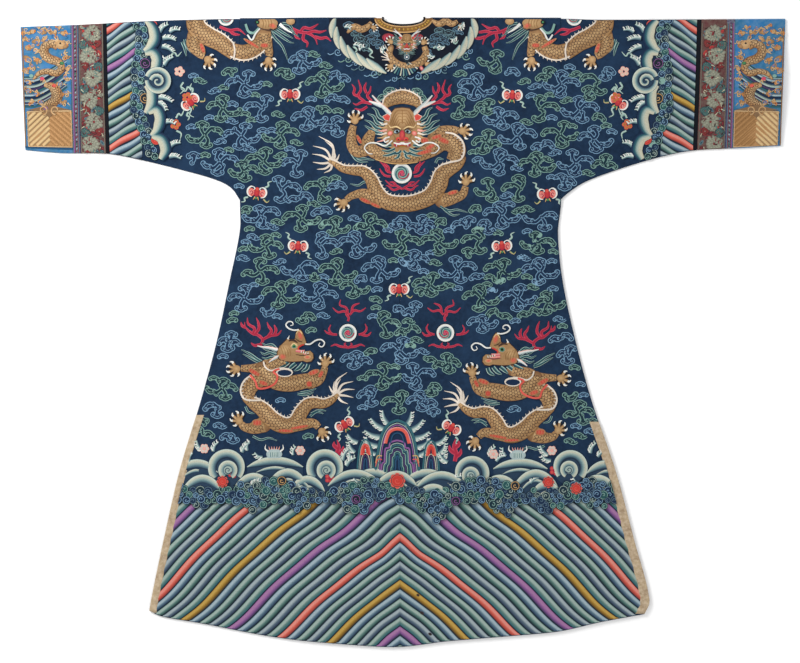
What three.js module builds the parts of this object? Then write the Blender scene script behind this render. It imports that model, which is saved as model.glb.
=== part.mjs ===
import * as THREE from "three";

// A dragon robe laid flat, with its front on the surface and its back facing up.
// Places on the robe are given in millimetres as "across", which runs from the centre-back seam
// to the right, and "drop", which runs down from the shoulder line towards the hem.

// Driving sizes
const SLEEVE_REACH = { left: 357, right: 359 };
const UNDERARM_DROP = 404;
const NECK_CENTRE = 8;
const NECK_HALF_WIDTH = 44;
const VENT_TOP = { left: 883, right: 898 };
const VENT_BAND_WIDTH = { left: 17, right: 21 };
const UNDER_FLAP_SHORTER = 60;

// Thicknesses and clearances
const CLOTH = 1.6;
const TRIM = 1;
const SEAM_GAP = 0.3;
const HALF_GAP = SEAM_GAP / 2;
const FOLD_GAP = 0.4;

// Layers above the surface: outer front, inner right front, then the back
const UNDER_FLAP_LEVEL = CLOTH + SEAM_GAP;
const TWO_LAYERS = CLOTH + FOLD_GAP;
const THREE_LAYERS = 2 * (CLOTH + SEAM_GAP);
const YOKE_LEVEL = THREE_LAYERS + CLOTH + SEAM_GAP;

// Reach of the body's side edges from the centre-back seam
const SIDE_EDGES = [
  { drop: 404, left: 357, right: 359 },
  { drop: 470, left: 357, right: 352 },
  { drop: 580, left: 379, right: 362 },
  { drop: 716, left: 408, right: 391 },
  { drop: 850, left: 444, right: 427 },
  { drop: 1006, left: 491, right: 480 },
  { drop: 1162, left: 527, right: 522 },
  { drop: 1296, left: 555, right: 556 },
  { drop: 1330, left: 560, right: 543 },
];

// Hem line
const HEM = [
  { across: -560, drop: 1318 },
  { across: -535, drop: 1331 },
  { across: -446, drop: 1347 },
  { across: -268, drop: 1380 },
  { across: -100, drop: 1396 },
  { across: 0, drop: 1400 },
  { across: 100, drop: 1388 },
  { across: 268, drop: 1374 },
  { across: 357, drop: 1365 },
  { across: 446, drop: 1345 },
  { across: 560, drop: 1324 },
];

// Shoulder fold, which is also the sleeves' upper fold
const SHOULDER = [
  { across: -850, drop: 18 },
  { across: -715, drop: 13 },
  { across: -560, drop: 5 },
  { across: -357, drop: 0 },
  { across: 357, drop: 0 },
  { across: 450, drop: 2 },
  { across: 860, drop: 0 },
];

// Underside edge of the sleeves, from the underarm to the cuff
const SLEEVE_UNDER_EDGES = [
  { reach: 357, left: 404, right: 404 },
  { reach: 375, left: 378, right: 388 },
  { reach: 410, left: 359, right: 365 },
  { reach: 486, left: 337, right: 336 },
  { reach: 580, left: 314, right: 308 },
  { reach: 650, left: 301, right: 294 },
  { reach: 758, left: 299, right: 288 },
  { reach: 850, left: 291, right: 283 },
];

// Outer boundary of each sleeve piece, at the upper fold and at the underside edge
const SLEEVE_PIECES = [
  { name: "sleeve", steps: 10, leftTop: 654, leftUnder: 647, rightTop: 662, rightUnder: 653 },
  { name: "sleeve_piping", steps: 1, leftTop: 662, leftUnder: 655, rightTop: 672, rightUnder: 662 },
  { name: "floral_band", steps: 3, leftTop: 716, leftUnder: 711, rightTop: 729, rightUnder: 723 },
  { name: "ribbon", steps: 1, leftTop: 734, leftUnder: 729, rightTop: 747, rightUnder: 742 },
  { name: "cuff", steps: 5, leftTop: 846, leftUnder: 835, rightTop: 859, rightUnder: 848 },
];

// Neck pieces as nested half rings: outer half width, and depth below the shoulder on each face
const NECK_STAND = 4;
const NECK_EDGE = { halfWidth: NECK_HALF_WIDTH, backDepth: 12, frontDepth: 75 };
const NECK_PIECES = [
  { name: "neck_piping", halfWidth: 48, backDepth: 16, frontDepth: 79, stand: NECK_STAND },
  { name: "collar", halfWidth: 65, backDepth: 32, frontDepth: 96, stand: 1 },
  { name: "yoke", halfWidth: 166, backDepth: 121, frontDepth: 200, stand: 0 },
];
const PANEL_NECK = { halfWidth: 55, depth: 23 };

// Largest folds of the back: a line with a half width and a height, below zero for a trough
const FOLDS = [
  { name: "underarm crease", from: [345, 430], to: [150, 665], width: 26, height: -3.4 },
  { name: "ridge beside it", from: [375, 520], to: [210, 700], width: 40, height: 2.6 },
  { name: "chest fold", from: [-330, 455], to: [330, 470], width: 34, height: -1.6 },
  { name: "waist fold", from: [-390, 728], to: [90, 727], width: 36, height: -1.6 },
  { name: "hip fold", from: [-170, 845], to: [150, 842], width: 34, height: -1.4 },
  { name: "centre-back seam", from: [8, 440], to: [0, 840], width: 26, height: -1.6 },
];
const FOLD_END_TAPER = 90;

// Soft rise of the back over the layers below it
const SWELL = 5.5;
const SWELL_EDGE = 130;
const SWELL_HEM_EDGE = 220;
const YOKE_FLAT = { reach: 200, depth: 150, fade: 120 };

// Mesh steps
const PANEL_COLUMNS = 13;
const PANEL_COLUMN_CROWDING = 1.25;
const PANEL_ROWS = 38;
const SLEEVE_ROWS = 10;
const OUTLINE_STEP = 60;
const NECK_ARC_STEPS = 40;

const COLOURS = {
  navy: 0x2a3e6e,
  black: 0x15161c,
  brown: 0x6e3c3c,
  purple: 0x6f5a98,
  cuffBlue: 0x2d73a5,
  yoke: 0x1c2436,
  gold: 0xc79a52,
};

function smoothStep(value) {
  const t = THREE.MathUtils.clamp(value, 0, 1);
  return t * t * (3 - 2 * t);
}

function curveThrough(rows, from, to) {
  // A smooth curve through the rows of a table, straight past its two ends
  const xs = rows.map((row) => row[from]);
  const ys = rows.map((row) => row[to]);
  const last = xs.length - 1;
  const slope = (i) => {
    const low = Math.max(i - 1, 0);
    const high = Math.min(i + 1, last);
    return (ys[high] - ys[low]) / (xs[high] - xs[low]);
  };
  return (x) => {
    if (x <= xs[0]) return ys[0];
    if (x >= xs[last]) return ys[last];
    let i = 0;
    while (x > xs[i + 1]) i += 1;
    const span = xs[i + 1] - xs[i];
    const t = (x - xs[i]) / span;
    const rise = smoothStep(t);
    const startTangent = t * (1 - t) * (1 - t);
    const endTangent = t * t * (t - 1);
    const blend = ys[i] * (1 - rise) + ys[i + 1] * rise;
    return blend + span * (startTangent * slope(i) + endTangent * slope(i + 1));
  };
}

const shoulderDrop = curveThrough(SHOULDER, "across", "drop");
const hemDrop = curveThrough(HEM, "across", "drop");
const sideReach = {
  left: curveThrough(SIDE_EDGES, "drop", "left"),
  right: curveThrough(SIDE_EDGES, "drop", "right"),
};
const sleeveUnderDrop = {
  left: curveThrough(SLEEVE_UNDER_EDGES, "reach", "left"),
  right: curveThrough(SLEEVE_UNDER_EDGES, "reach", "right"),
};
const directionOf = { left: -1, right: 1 };

function edgeDistance(across, drop) {
  // Distance in from the body's side edge, or from the sleeve's underside edge
  const side = across < 0 ? "left" : "right";
  const reach = Math.abs(across);
  if (drop >= UNDERARM_DROP) return sideReach[side](drop) - reach;
  if (reach >= SLEEVE_REACH[side]) return sleeveUnderDrop[side](reach) - drop;
  return Math.hypot(SLEEVE_REACH[side] - reach, UNDERARM_DROP - drop);
}

function foldHeight(fold, across, drop) {
  // A soft trough or ridge along a line, fading out towards both ends
  const along = [fold.to[0] - fold.from[0], fold.to[1] - fold.from[1]];
  const length = Math.hypot(along[0], along[1]);
  const offset = [across - fold.from[0], drop - fold.from[1]];
  const travel = (offset[0] * along[0] + offset[1] * along[1]) / length;
  const aside = (offset[0] * along[1] - offset[1] * along[0]) / length;
  const ends = smoothStep(travel / FOLD_END_TAPER) * smoothStep((length - travel) / FOLD_END_TAPER);
  return fold.height * ends * Math.exp(-((aside / fold.width) ** 2));
}

function layersBelow(across, drop) {
  // Height of the layers under the back: three deep over the inner flap, two deep elsewhere
  const leftSettle = smoothStep((across + 300) / 120);
  const onSleeve = drop < UNDERARM_DROP;
  const rightSettle = onSleeve ? 1 - smoothStep((across - SLEEVE_REACH.right) / 80) : 1;
  return TWO_LAYERS + (THREE_LAYERS - TWO_LAYERS) * leftSettle * rightSettle;
}

function undersideOfBack(across, drop) {
  // Height of the lower face of the back and of the sleeves' upper walls
  const nearNeck = 1 - smoothStep((Math.abs(across) - YOKE_FLAT.reach) / YOKE_FLAT.fade);
  const flatDepth = YOKE_FLAT.depth * nearNeck;
  const fromShoulder = smoothStep((drop - shoulderDrop(across) - flatDepth) / SWELL_EDGE);
  const fromEdge = smoothStep(edgeDistance(across, drop) / SWELL_EDGE);
  const fromHem = smoothStep((hemDrop(across) - drop) / SWELL_HEM_EDGE);
  const window = fromShoulder * fromEdge * fromHem;
  const folds = FOLDS.reduce((sum, fold) => sum + foldHeight(fold, across, drop), 0);
  return layersBelow(across, drop) + window * (SWELL + folds);
}

function place(across, drop, height) {
  return new THREE.Vector3(across, -drop, height);
}

function closedGeometry(points, quads) {
  // Builds a closed body from its corner points and quads, and turns its faces outward
  const triangles = quads.flatMap(([a, b, c, d]) => [[a, b, c], [a, c, d]]);
  const volume = triangles.reduce((sum, [a, b, c]) => {
    return sum + points[a].dot(points[b].clone().cross(points[c])) / 6;
  }, 0);
  const order = volume > 0 ? triangles : triangles.map(([a, b, c]) => [a, c, b]);
  const geometry = new THREE.BufferGeometry().setFromPoints(points);
  geometry.setIndex(order.flat());
  geometry.computeVertexNormals();
  return geometry;
}

function wallFromGrid(rows, thickness) {
  // A wall over a grid of points on its lower face, with the same grid moved up as its upper face
  const width = rows[0].length;
  const height = rows.length;
  const lower = rows.flat();
  const upper = lower.map((point) => point.clone().setZ(point.z + thickness));
  const up = lower.length;
  const at = (row, column) => row * width + column;
  const quads = [];
  for (let row = 0; row + 1 < height; row += 1) {
    for (let column = 0; column + 1 < width; column += 1) {
      const corners = [at(row, column), at(row, column + 1), at(row + 1, column + 1), at(row + 1, column)];
      quads.push(corners.map((corner) => corner + up));
      quads.push([...corners].reverse());
    }
  }
  const rim = [];
  for (let column = 0; column + 1 < width; column += 1) rim.push(at(0, column));
  for (let row = 0; row + 1 < height; row += 1) rim.push(at(row, width - 1));
  for (let column = width - 1; column > 0; column -= 1) rim.push(at(height - 1, column));
  for (let row = height - 1; row > 0; row -= 1) rim.push(at(row, 0));
  rim.forEach((corner, i) => {
    const next = rim[(i + 1) % rim.length];
    quads.push([corner, next, next + up, corner + up]);
  });
  return closedGeometry([...lower, ...upper], quads);
}

function wallFromRings(sections) {
  // An open tube wall through sections that each hold an outer and an inner ring
  const count = sections[0].outer.length;
  const points = sections.flatMap((section) => [...section.outer, ...section.inner]);
  const at = (section, ring, i) => section * 2 * count + ring * count + (i % count);
  const quads = [];
  for (let i = 0; i < count; i += 1) {
    for (let s = 0; s + 1 < sections.length; s += 1) {
      quads.push([at(s, 0, i), at(s, 0, i + 1), at(s + 1, 0, i + 1), at(s + 1, 0, i)]);
      quads.push([at(s + 1, 1, i), at(s + 1, 1, i + 1), at(s, 1, i + 1), at(s, 1, i)]);
    }
    const end = sections.length - 1;
    quads.push([at(0, 1, i), at(0, 1, i + 1), at(0, 0, i + 1), at(0, 0, i)]);
    quads.push([at(end, 0, i), at(end, 0, i + 1), at(end, 1, i + 1), at(end, 1, i)]);
  }
  return closedGeometry(points, quads);
}

function flatPanel(outline, level, thickness) {
  // A flat wall from an outline of [across, drop] points
  const shape = new THREE.Shape(outline.map(([across, drop]) => new THREE.Vector2(across, -drop)));
  const geometry = new THREE.ExtrudeGeometry(shape, { depth: thickness, bevelEnabled: false });
  return geometry.translate(0, 0, level);
}

function sampled(from, to, step, pointAt) {
  // Points along a line from one value to another, both ends included
  const count = Math.max(Math.ceil(Math.abs(to - from) / step), 1);
  return Array.from({ length: count + 1 }, (_, i) => pointAt(from + ((to - from) * i) / count));
}

function sidePoint(side, drop, inset) {
  const reach = drop < UNDERARM_DROP ? SLEEVE_REACH[side] : sideReach[side](drop);
  return [directionOf[side] * (reach - inset), drop];
}

function hemCorner(side, inset) {
  // Where the side edge meets the hem
  let drop = hemDrop(directionOf[side] * SLEEVE_REACH[side]);
  for (let pass = 0; pass < 8; pass += 1) drop = hemDrop(sidePoint(side, drop, inset)[0]);
  return drop;
}

function backTopDrop(across) {
  // Upper edge of the back: the shoulder fold, cut away below the collar
  const fromCentre = (across - NECK_CENTRE) / PANEL_NECK.halfWidth;
  if (Math.abs(fromCentre) >= 1) return shoulderDrop(across);
  return PANEL_NECK.depth * Math.sqrt(1 - fromCentre * fromCentre);
}

function edgeReachAt(side, share) {
  // Reach of the side edge at a share of the way from the shoulder to the hem
  let reach = SLEEVE_REACH[side];
  for (let pass = 0; pass < 12; pass += 1) {
    const drop = share * hemDrop(directionOf[side] * reach);
    reach = Math.abs(sidePoint(side, drop, 0)[0]);
  }
  return reach;
}

function backGrid(side) {
  // Grid of points on the lower face of one back panel; its last column is the vent band's width
  const direction = directionOf[side];
  const band = VENT_BAND_WIDTH[side];
  return Array.from({ length: PANEL_ROWS + 1 }, (_, row) => {
    const v = row / PANEL_ROWS;
    const edge = edgeReachAt(side, v);
    return Array.from({ length: PANEL_COLUMNS + 2 }, (__, column) => {
      const share = Math.min(column / PANEL_COLUMNS, 1) ** PANEL_COLUMN_CROWDING;
      const inner = HALF_GAP + share * (edge - band - HALF_GAP);
      const reach = column > PANEL_COLUMNS ? edge - HALF_GAP : inner;
      const across = direction * reach;
      const top = backTopDrop(across);
      const drop = top + v * (hemDrop(across) - top);
      return place(across, drop, undersideOfBack(across, drop));
    });
  });
}

function backVentBand(side) {
  // The vent band lies on the back's outermost column of points, moved out
  const rows = backGrid(side).filter((row) => -row[row.length - 1].y >= VENT_TOP[side]);
  const lift = CLOTH + SEAM_GAP;
  return rows.map((row) => row.slice(-2).map((point) => point.clone().setZ(point.z + lift)));
}

function frontSideLine(side, from, to, inset) {
  return sampled(from, to, OUTLINE_STEP, (drop) => sidePoint(side, drop, inset));
}

function hemLine(fromAcross, toAcross, raise) {
  return sampled(fromAcross, toAcross, OUTLINE_STEP, (across) => [across, hemDrop(across) - raise]);
}

function neckArc(halfWidth, depth, stand, fromTurn, toTurn) {
  // Half ellipse round the neck, from its left end at turn 0 to its right end at turn 1
  const shared = Array.from({ length: NECK_ARC_STEPS + 1 }, (_, i) => i / NECK_ARC_STEPS);
  const turns = [fromTurn, ...shared.filter((turn) => turn > fromTurn && turn < toTurn), toTurn];
  const arc = turns.map((turn) => {
    const angle = Math.PI * (1 - turn);
    return [NECK_CENTRE + halfWidth * Math.cos(angle), depth * Math.sin(angle)];
  });
  if (stand > 0) {
    if (fromTurn === 0) arc.unshift([NECK_CENTRE - halfWidth, -stand]);
    if (toTurn === 1) arc.push([NECK_CENTRE + halfWidth, -stand]);
  }
  return arc;
}

function neckRing(outer, inner, depthKey) {
  // One half ring between two neck arcs, with a seam gap at its inner side
  const gap = inner === NECK_EDGE ? 0 : SEAM_GAP;
  const outside = neckArc(outer.halfWidth, outer[depthKey], outer.stand, 0, 1);
  const inside = neckArc(inner.halfWidth + gap, inner[depthKey] + gap, outer.stand, 0, 1);
  return [...outside, ...inside.reverse()];
}

function frontHalf(side, inset) {
  // Lower edges of a front panel from the underarm round to the centre: side, vent notch and hem
  const notch = inset > 0 ? inset + SEAM_GAP : 0;
  const corner = hemCorner(side, notch);
  const upper = frontSideLine(side, UNDERARM_DROP, VENT_TOP[side], 0);
  const lower = frontSideLine(side, VENT_TOP[side], corner, notch);
  const hem = hemLine(lower[lower.length - 1][0], directionOf[side] * HALF_GAP, 0);
  return [...upper, ...lower.slice(notch > 0 ? 0 : 1), ...hem.slice(1)];
}

function frontLeftOutline() {
  const yoke = NECK_PIECES[2];
  const centreTurn = Math.acos((NECK_CENTRE + HALF_GAP) / yoke.halfWidth) / Math.PI;
  const arc = neckArc(yoke.halfWidth + SEAM_GAP, yoke.frontDepth + SEAM_GAP, 0, 0, centreTurn);
  const armhole = directionOf.left * (SLEEVE_REACH.left - HALF_GAP);
  const lower = frontHalf("left", VENT_BAND_WIDTH.left).slice(1);
  return [...arc.reverse(), [armhole, 0], [armhole, UNDERARM_DROP], ...lower];
}

function frontOverlapOutline() {
  // The overlap closes along a curve from the yoke to the wearer's right underarm
  const yoke = NECK_PIECES[2];
  const closingTurn = 0.82;
  const centreTurn = Math.acos((NECK_CENTRE - HALF_GAP) / yoke.halfWidth) / Math.PI;
  const arc = neckArc(yoke.halfWidth + SEAM_GAP, yoke.frontDepth + SEAM_GAP, 0, centreTurn, closingTurn);
  const start = arc[arc.length - 1];
  const end = [SLEEVE_REACH.right - HALF_GAP, UNDERARM_DROP];
  const closing = sampled(0, 1, 1 / 8, (t) => {
    const bend = smoothStep(t);
    return [THREE.MathUtils.lerp(start[0], end[0], t), THREE.MathUtils.lerp(start[1], end[1], bend)];
  });
  return [...arc, ...closing.slice(1), ...frontHalf("right", VENT_BAND_WIDTH.right).slice(1)];
}

function frontUnderOutline() {
  // Inner right front, from the neck to a hem that ends above the outer one
  const inner = NECK_CENTRE + 2;
  const arc = neckArc(NECK_HALF_WIDTH, NECK_EDGE.frontDepth, 0, 0.5, 1).slice(1);
  const armhole = SLEEVE_REACH.right - HALF_GAP;
  const corner = hemCorner("right", 0) - UNDER_FLAP_SHORTER;
  const side = frontSideLine("right", UNDERARM_DROP, corner, HALF_GAP);
  const hem = hemLine(side[side.length - 1][0], inner, UNDER_FLAP_SHORTER);
  return [...arc, [armhole, 0], ...side, ...hem.slice(1)];
}

function frontVentOutline(side) {
  const inset = VENT_BAND_WIDTH[side];
  const outer = frontSideLine(side, VENT_TOP[side] + SEAM_GAP, hemCorner(side, 0), 0);
  const inner = frontSideLine(side, hemCorner(side, inset), VENT_TOP[side] + SEAM_GAP, inset);
  return [...outer, ...inner];
}

function sleeveSection(side, boundary) {
  // Outer and inner rings of a sleeve wall where a boundary runs from the fold to the underside
  const direction = directionOf[side];
  const ringPoint = (t, inset, height) => {
    const reach = THREE.MathUtils.lerp(boundary.top, boundary.under, t);
    const across = direction * reach;
    const upper = shoulderDrop(across) + inset;
    const lower = sleeveUnderDrop[side](reach) - inset;
    const drop = THREE.MathUtils.lerp(upper, lower, t);
    return place(across, drop, height(across, drop));
  };
  const ring = (inset, floor, ceiling) => {
    const shares = Array.from({ length: SLEEVE_ROWS + 1 }, (_, i) => i / SLEEVE_ROWS);
    const low = shares.map((t) => ringPoint(t, inset, () => floor));
    const high = shares.map((t) => ringPoint(t, inset, (a, d) => undersideOfBack(a, d) + ceiling));
    return [...low, ...high.reverse()];
  };
  return { outer: ring(0, 0, CLOTH), inner: ring(CLOTH, CLOTH, 0) };
}

function sleeveTube(side, start, end, steps) {
  const shares = Array.from({ length: steps + 1 }, (_, i) => i / steps);
  return wallFromRings(shares.map((share) => sleeveSection(side, {
    top: THREE.MathUtils.lerp(start.top, end.top, share),
    under: THREE.MathUtils.lerp(start.under, end.under, share),
  })));
}

function material(colour, roughness) {
  return new THREE.MeshStandardMaterial({ color: colour, roughness, metalness: 0 });
}

const robe = new THREE.Group();

function add(name, geometry, colour, roughness = 0.7) {
  const mesh = new THREE.Mesh(geometry, material(colour, roughness));
  mesh.name = name;
  robe.add(mesh);
}

function addBody() {
  for (const side of ["left", "right"]) {
    add(`back_${side}`, wallFromGrid(backGrid(side), CLOTH), COLOURS.navy);
    add(`vent_band_${side}_back`, wallFromGrid(backVentBand(side), TRIM), COLOURS.gold, 0.5);
    add(`vent_band_${side}_front`, flatPanel(frontVentOutline(side), 0, CLOTH), COLOURS.gold, 0.5);
  }
  add("front_left", flatPanel(frontLeftOutline(), 0, CLOTH), COLOURS.navy);
  add("front_overlap", flatPanel(frontOverlapOutline(), 0, CLOTH), COLOURS.navy);
  add("front_under", flatPanel(frontUnderOutline(), UNDER_FLAP_LEVEL, CLOTH), COLOURS.navy);
}

function addSleeves() {
  const colours = [COLOURS.navy, COLOURS.black, COLOURS.brown, COLOURS.purple, COLOURS.cuffBlue];
  for (const side of ["left", "right"]) {
    let start = { top: SLEEVE_REACH[side] + HALF_GAP, under: SLEEVE_REACH[side] + HALF_GAP };
    SLEEVE_PIECES.forEach((piece, i) => {
      const end = { top: piece[`${side}Top`], under: piece[`${side}Under`] };
      add(`${piece.name}_${side}`, sleeveTube(side, start, end, piece.steps), colours[i]);
      start = { top: end.top + SEAM_GAP, under: end.under + SEAM_GAP };
    });
  }
}

function addNeck() {
  const colours = [COLOURS.black, COLOURS.gold, COLOURS.yoke];
  let inner = NECK_EDGE;
  NECK_PIECES.forEach((outer, i) => {
    add(`${outer.name}_back`, flatPanel(neckRing(outer, inner, "backDepth"), YOKE_LEVEL, TRIM), colours[i]);
    add(`${outer.name}_front`, flatPanel(neckRing(outer, inner, "frontDepth"), 0, CLOTH), colours[i]);
    inner = outer;
  });
}

addBody();
addSleeves();
addNeck();

// The robe's own origin is the middle of its outline, on the surface that it lies on
const outline = new THREE.Box3().setFromObject(robe);
const middle = outline.getCenter(new THREE.Vector3());
robe.position.set(-middle.x, -middle.y, 0);

export default robe;
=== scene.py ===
"""A dragon robe laid flat on its front: thin cloth shells on the solids, with embroidery laid on them.

Places on the robe are in millimetres: "across" runs right from the centre-back seam, and "drop" runs
down from the shoulder line. All is turned into metres in the part's frame as it is laid on the cloth.
"""
import math
import random

import bmesh
import bpy
import numpy as np
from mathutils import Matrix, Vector, geometry


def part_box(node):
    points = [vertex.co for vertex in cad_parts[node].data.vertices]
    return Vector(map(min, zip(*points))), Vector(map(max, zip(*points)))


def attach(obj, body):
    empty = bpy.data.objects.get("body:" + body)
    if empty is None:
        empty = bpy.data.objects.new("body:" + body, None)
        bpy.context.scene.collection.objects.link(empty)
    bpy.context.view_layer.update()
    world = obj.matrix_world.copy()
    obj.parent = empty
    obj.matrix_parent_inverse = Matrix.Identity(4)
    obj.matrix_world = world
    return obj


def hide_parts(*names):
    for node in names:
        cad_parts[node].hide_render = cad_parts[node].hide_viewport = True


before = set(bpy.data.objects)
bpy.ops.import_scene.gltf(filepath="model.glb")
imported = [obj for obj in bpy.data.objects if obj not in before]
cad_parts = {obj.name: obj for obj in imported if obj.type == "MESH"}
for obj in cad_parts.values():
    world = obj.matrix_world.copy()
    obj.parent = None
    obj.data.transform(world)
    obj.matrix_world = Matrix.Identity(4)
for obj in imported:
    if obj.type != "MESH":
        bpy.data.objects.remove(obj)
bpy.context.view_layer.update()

MM = 0.001
left_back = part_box("back_left")
right_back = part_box("back_right")
SEAM_X = (left_back[1][0] + right_back[0][0]) / 2
SHOULDER_Y = left_back[1][1]

# Layers, as in the solids
CLOTH = 1.6
TRIM = 1.0
SEAM_GAP = 0.3
HALF_GAP = SEAM_GAP / 2
TWO_LAYERS = CLOTH + 0.4
THREE_LAYERS = 2 * (CLOTH + SEAM_GAP)
UNDER_FLAP_LEVEL = CLOTH + SEAM_GAP
UNDER_FLAP_SHORTER = 60
CLOSING_TURN = 0.82
SLEEVE_REACH = {"left": 357, "right": 359}
UNDERARM_DROP = 404
NECK_CENTRE = 8
VENT_TOP = {"left": 883, "right": 898}
VENT_BAND_WIDTH = {"left": 17, "right": 21}
DIRECTION = {"left": -1, "right": 1}
# Typical sizes, which set how closely the points of a panel or tube are spaced
LENGTH = 1400
HALF_WIDTH = 450
TUBE_DEPTH = 300
# Where the side edge meets the hem, and the neck's cut in the back: half width and depth
VENT_FOOT_REACH = 550.0
SIDE_FOOT_DROP = 1320.0
NECK_CUT = (55, 23)
NECK_UNFOLDED = 62

# Outline tables, with the columns named
SIDE_EDGES = {
    "drop": [404, 470, 580, 716, 850, 1006, 1162, 1296, 1330],
    "left": [357, 357, 379, 408, 444, 491, 527, 555, 560],
    "right": [359, 352, 362, 391, 427, 480, 522, 556, 543],
}
HEM = {
    "across": [-560, -535, -446, -268, -100, 0, 100, 268, 357, 446, 560],
    "drop": [1318, 1331, 1347, 1380, 1396, 1400, 1388, 1374, 1365, 1345, 1324],
}
SHOULDER = {
    "across": [-850, -715, -560, -357, 357, 450, 860],
    "drop": [18, 13, 5, 0, 0, 2, 0],
}
SLEEVE_UNDER_EDGES = {
    "reach": [357, 375, 410, 486, 580, 650, 758, 850],
    "left": [404, 378, 359, 337, 314, 301, 299, 291],
    "right": [404, 388, 365, 336, 308, 294, 288, 283],
}
SLEEVE_END_DEPTH = 285
# Outer boundary of each sleeve piece: its name, then left and right reach at the fold and underside
SIDE_COLUMN = {"left": 1, "right": 2}
SLEEVE_PIECES = [
    ("sleeve", (654, 647), (662, 653)),
    ("sleeve_piping", (662, 655), (672, 662)),
    ("floral_band", (716, 711), (729, 723)),
    ("ribbon", (734, 729), (747, 742)),
    ("cuff", (846, 835), (859, 848)),
]
# Neck pieces as nested half rings: name, half width, depth on the back, depth on the front
NECK_EDGE = ("neck_edge", 44, 12, 75)
NECK_PIECES = [
    ("neck_piping", 48, 16, 79),
    ("collar", 65, 32, 96),
    ("yoke", 166, 121, 200),
]
NECK_STANDS = {"neck_piping": 4, "collar": 1, "yoke": 0}
# Folds as lines with a half width and a height, below zero for a trough
FOLDS = [
    ((345, 430), (150, 665), 26, -3.4),
    ((375, 520), (210, 700), 40, 2.6),
    ((-330, 455), (330, 470), 34, -1.6),
    ((-390, 728), (90, 727), 36, -1.6),
    ((-170, 845), (150, 842), 34, -1.4),
    ((8, 440), (0, 840), 26, -1.6),
]
# Finer creases that only the cloth's shell has
CREASES = [
    ((352, 440), (150, 668), 7, -2.6),
    ((346, 470), (215, 590), 11, 1.6),
    ((330, 560), (250, 640), 12, -1.4),
    ((355, 505), (290, 545), 9, -1.2),
    ((-340, 440), (-250, 520), 12, -1.5),
    ((-350, 470), (-280, 590), 16, 1.2),
    ((-300, 452), (-40, 462), 8, -1.3),
    ((60, 462), (300, 471), 8, -1.1),
    ((-380, 729), (-120, 724), 8, -1.3),
    ((-60, 726), (70, 731), 7, -1.0),
    ((30, 842), (140, 845), 7, -1.2),
    ((-180, 843), (-60, 846), 8, -1.1),
    ((3, 430), (3, 900), 7, 1.8),
    ((22, 500), (16, 830), 9, 0.8),
    ((-520, 60), (-440, 300), 20, -1.1),
    ((500, 40), (440, 290), 22, -1.1),
    ((-200, 900), (-260, 1330), 26, -1.1),
    ((-60, 1060), (-84, 1390), 24, -0.9),
    ((90, 1050), (118, 1380), 26, -0.9),
    ((210, 930), (260, 1330), 30, -1.2),
    ((400, 900), (440, 1300), 24, 1.1),
    ((-380, 960), (-420, 1310), 24, 1.1),
    ((120, 200), (70, 420), 18, -0.8),
    ((-150, 190), (-100, 420), 20, -0.8),
]
FOLD_END_TAPER = 90
SWELL = 5.5
SWELL_EDGE = 130
SWELL_HEM_EDGE = 220
YOKE_FLAT = (200, 150, 120)

# Colours by name, as red, green and blue out of 255
PALETTE = {
    "ground": (19, 38, 60),
    "ground faded": (34, 58, 86),
    "ground deep": (12, 24, 42),
    "mint pale": (122, 158, 148),
    "mint mid": (34, 76, 78),
    "mint dark": (14, 40, 52),
    "sky pale": (118, 154, 180),
    "sky mid": (34, 74, 106),
    "sky dark": (16, 38, 66),
    "dragon": (156, 121, 82),
    "dragon light": (186, 152, 108),
    "dragon dark": (112, 78, 52),
    "dragon line": (64, 44, 38),
    "ridge": (214, 202, 188),
    "flame": (158, 34, 58),
    "flame pale": (196, 74, 96),
    "coral": (204, 86, 74),
    "coral pale": (222, 160, 148),
    "white": (218, 218, 212),
    "pearl grey": (148, 166, 170),
    "black": (18, 19, 24),
    "red": (186, 56, 48),
    "eye green": (60, 120, 78),
    "purple": (130, 84, 138),
    "purple dark": (62, 50, 88),
    "stripe red": (196, 88, 72),
    "stripe red pale": (210, 132, 120),
    "stripe red dark": (140, 54, 50),
    "stripe gold": (148, 112, 40),
    "stripe gold pale": (180, 146, 72),
    "stripe gold dark": (82, 62, 30),
    "purple pale": (154, 110, 150),
    "stripe blue": (150, 168, 176),
    "stripe blue mid": (84, 110, 126),
    "stripe blue dark": (34, 58, 84),
    "stripe green": (148, 166, 158),
    "stripe green mid": (84, 118, 112),
    "stripe lilac": (150, 162, 166),
    "stripe lilac mid": (84, 102, 116),
    "stripe lilac dark": (40, 56, 80),
    "stripe line": (18, 30, 40),
    "wave cream": (186, 184, 164),
    "wave pale": (150, 168, 160),
    "wave mid": (92, 122, 130),
    "wave dark": (34, 56, 78),
    "foam": (180, 196, 186),
    "gold": (192, 152, 98),
    "gold light": (214, 184, 134),
    "gold brown": (138, 100, 58),
    "teal": (44, 92, 102),
    "leaf red": (126, 48, 52),
    "leaf dark": (60, 28, 32),
    "stripe green dark": (32, 62, 62),
    "flower": (150, 154, 136),
    "flower pale": (178, 174, 148),
    "flower dark": (108, 104, 92),
    "cuff gold": (170, 128, 84),
    "cuff pale": (190, 158, 116),
    "cuff brown": (126, 98, 70),
    "cuff orange": (194, 122, 62),
    "cuff blue": (44, 108, 160),
    "brocade": (172, 152, 122),
    "brocade dark": (120, 96, 76),
    "brocade light": (202, 184, 160),
    "collar gold": (138, 98, 50),
    "collar dark": (74, 52, 30),
    "band brown": (96, 60, 60),
    "ribbon ground": (72, 64, 88),
    "yoke ground": (20, 24, 34),
    "yoke blue": (84, 116, 134),
}


def linear(name):
    """A palette colour as linear light."""
    share = np.array(PALETTE[name]) / 255
    return np.where(share <= 0.04045, share / 12.92, ((share + 0.055) / 1.055) ** 2.4)


def smooth_step(value):
    t = np.clip(value, 0, 1)
    return t * t * (3 - 2 * t)


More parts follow.
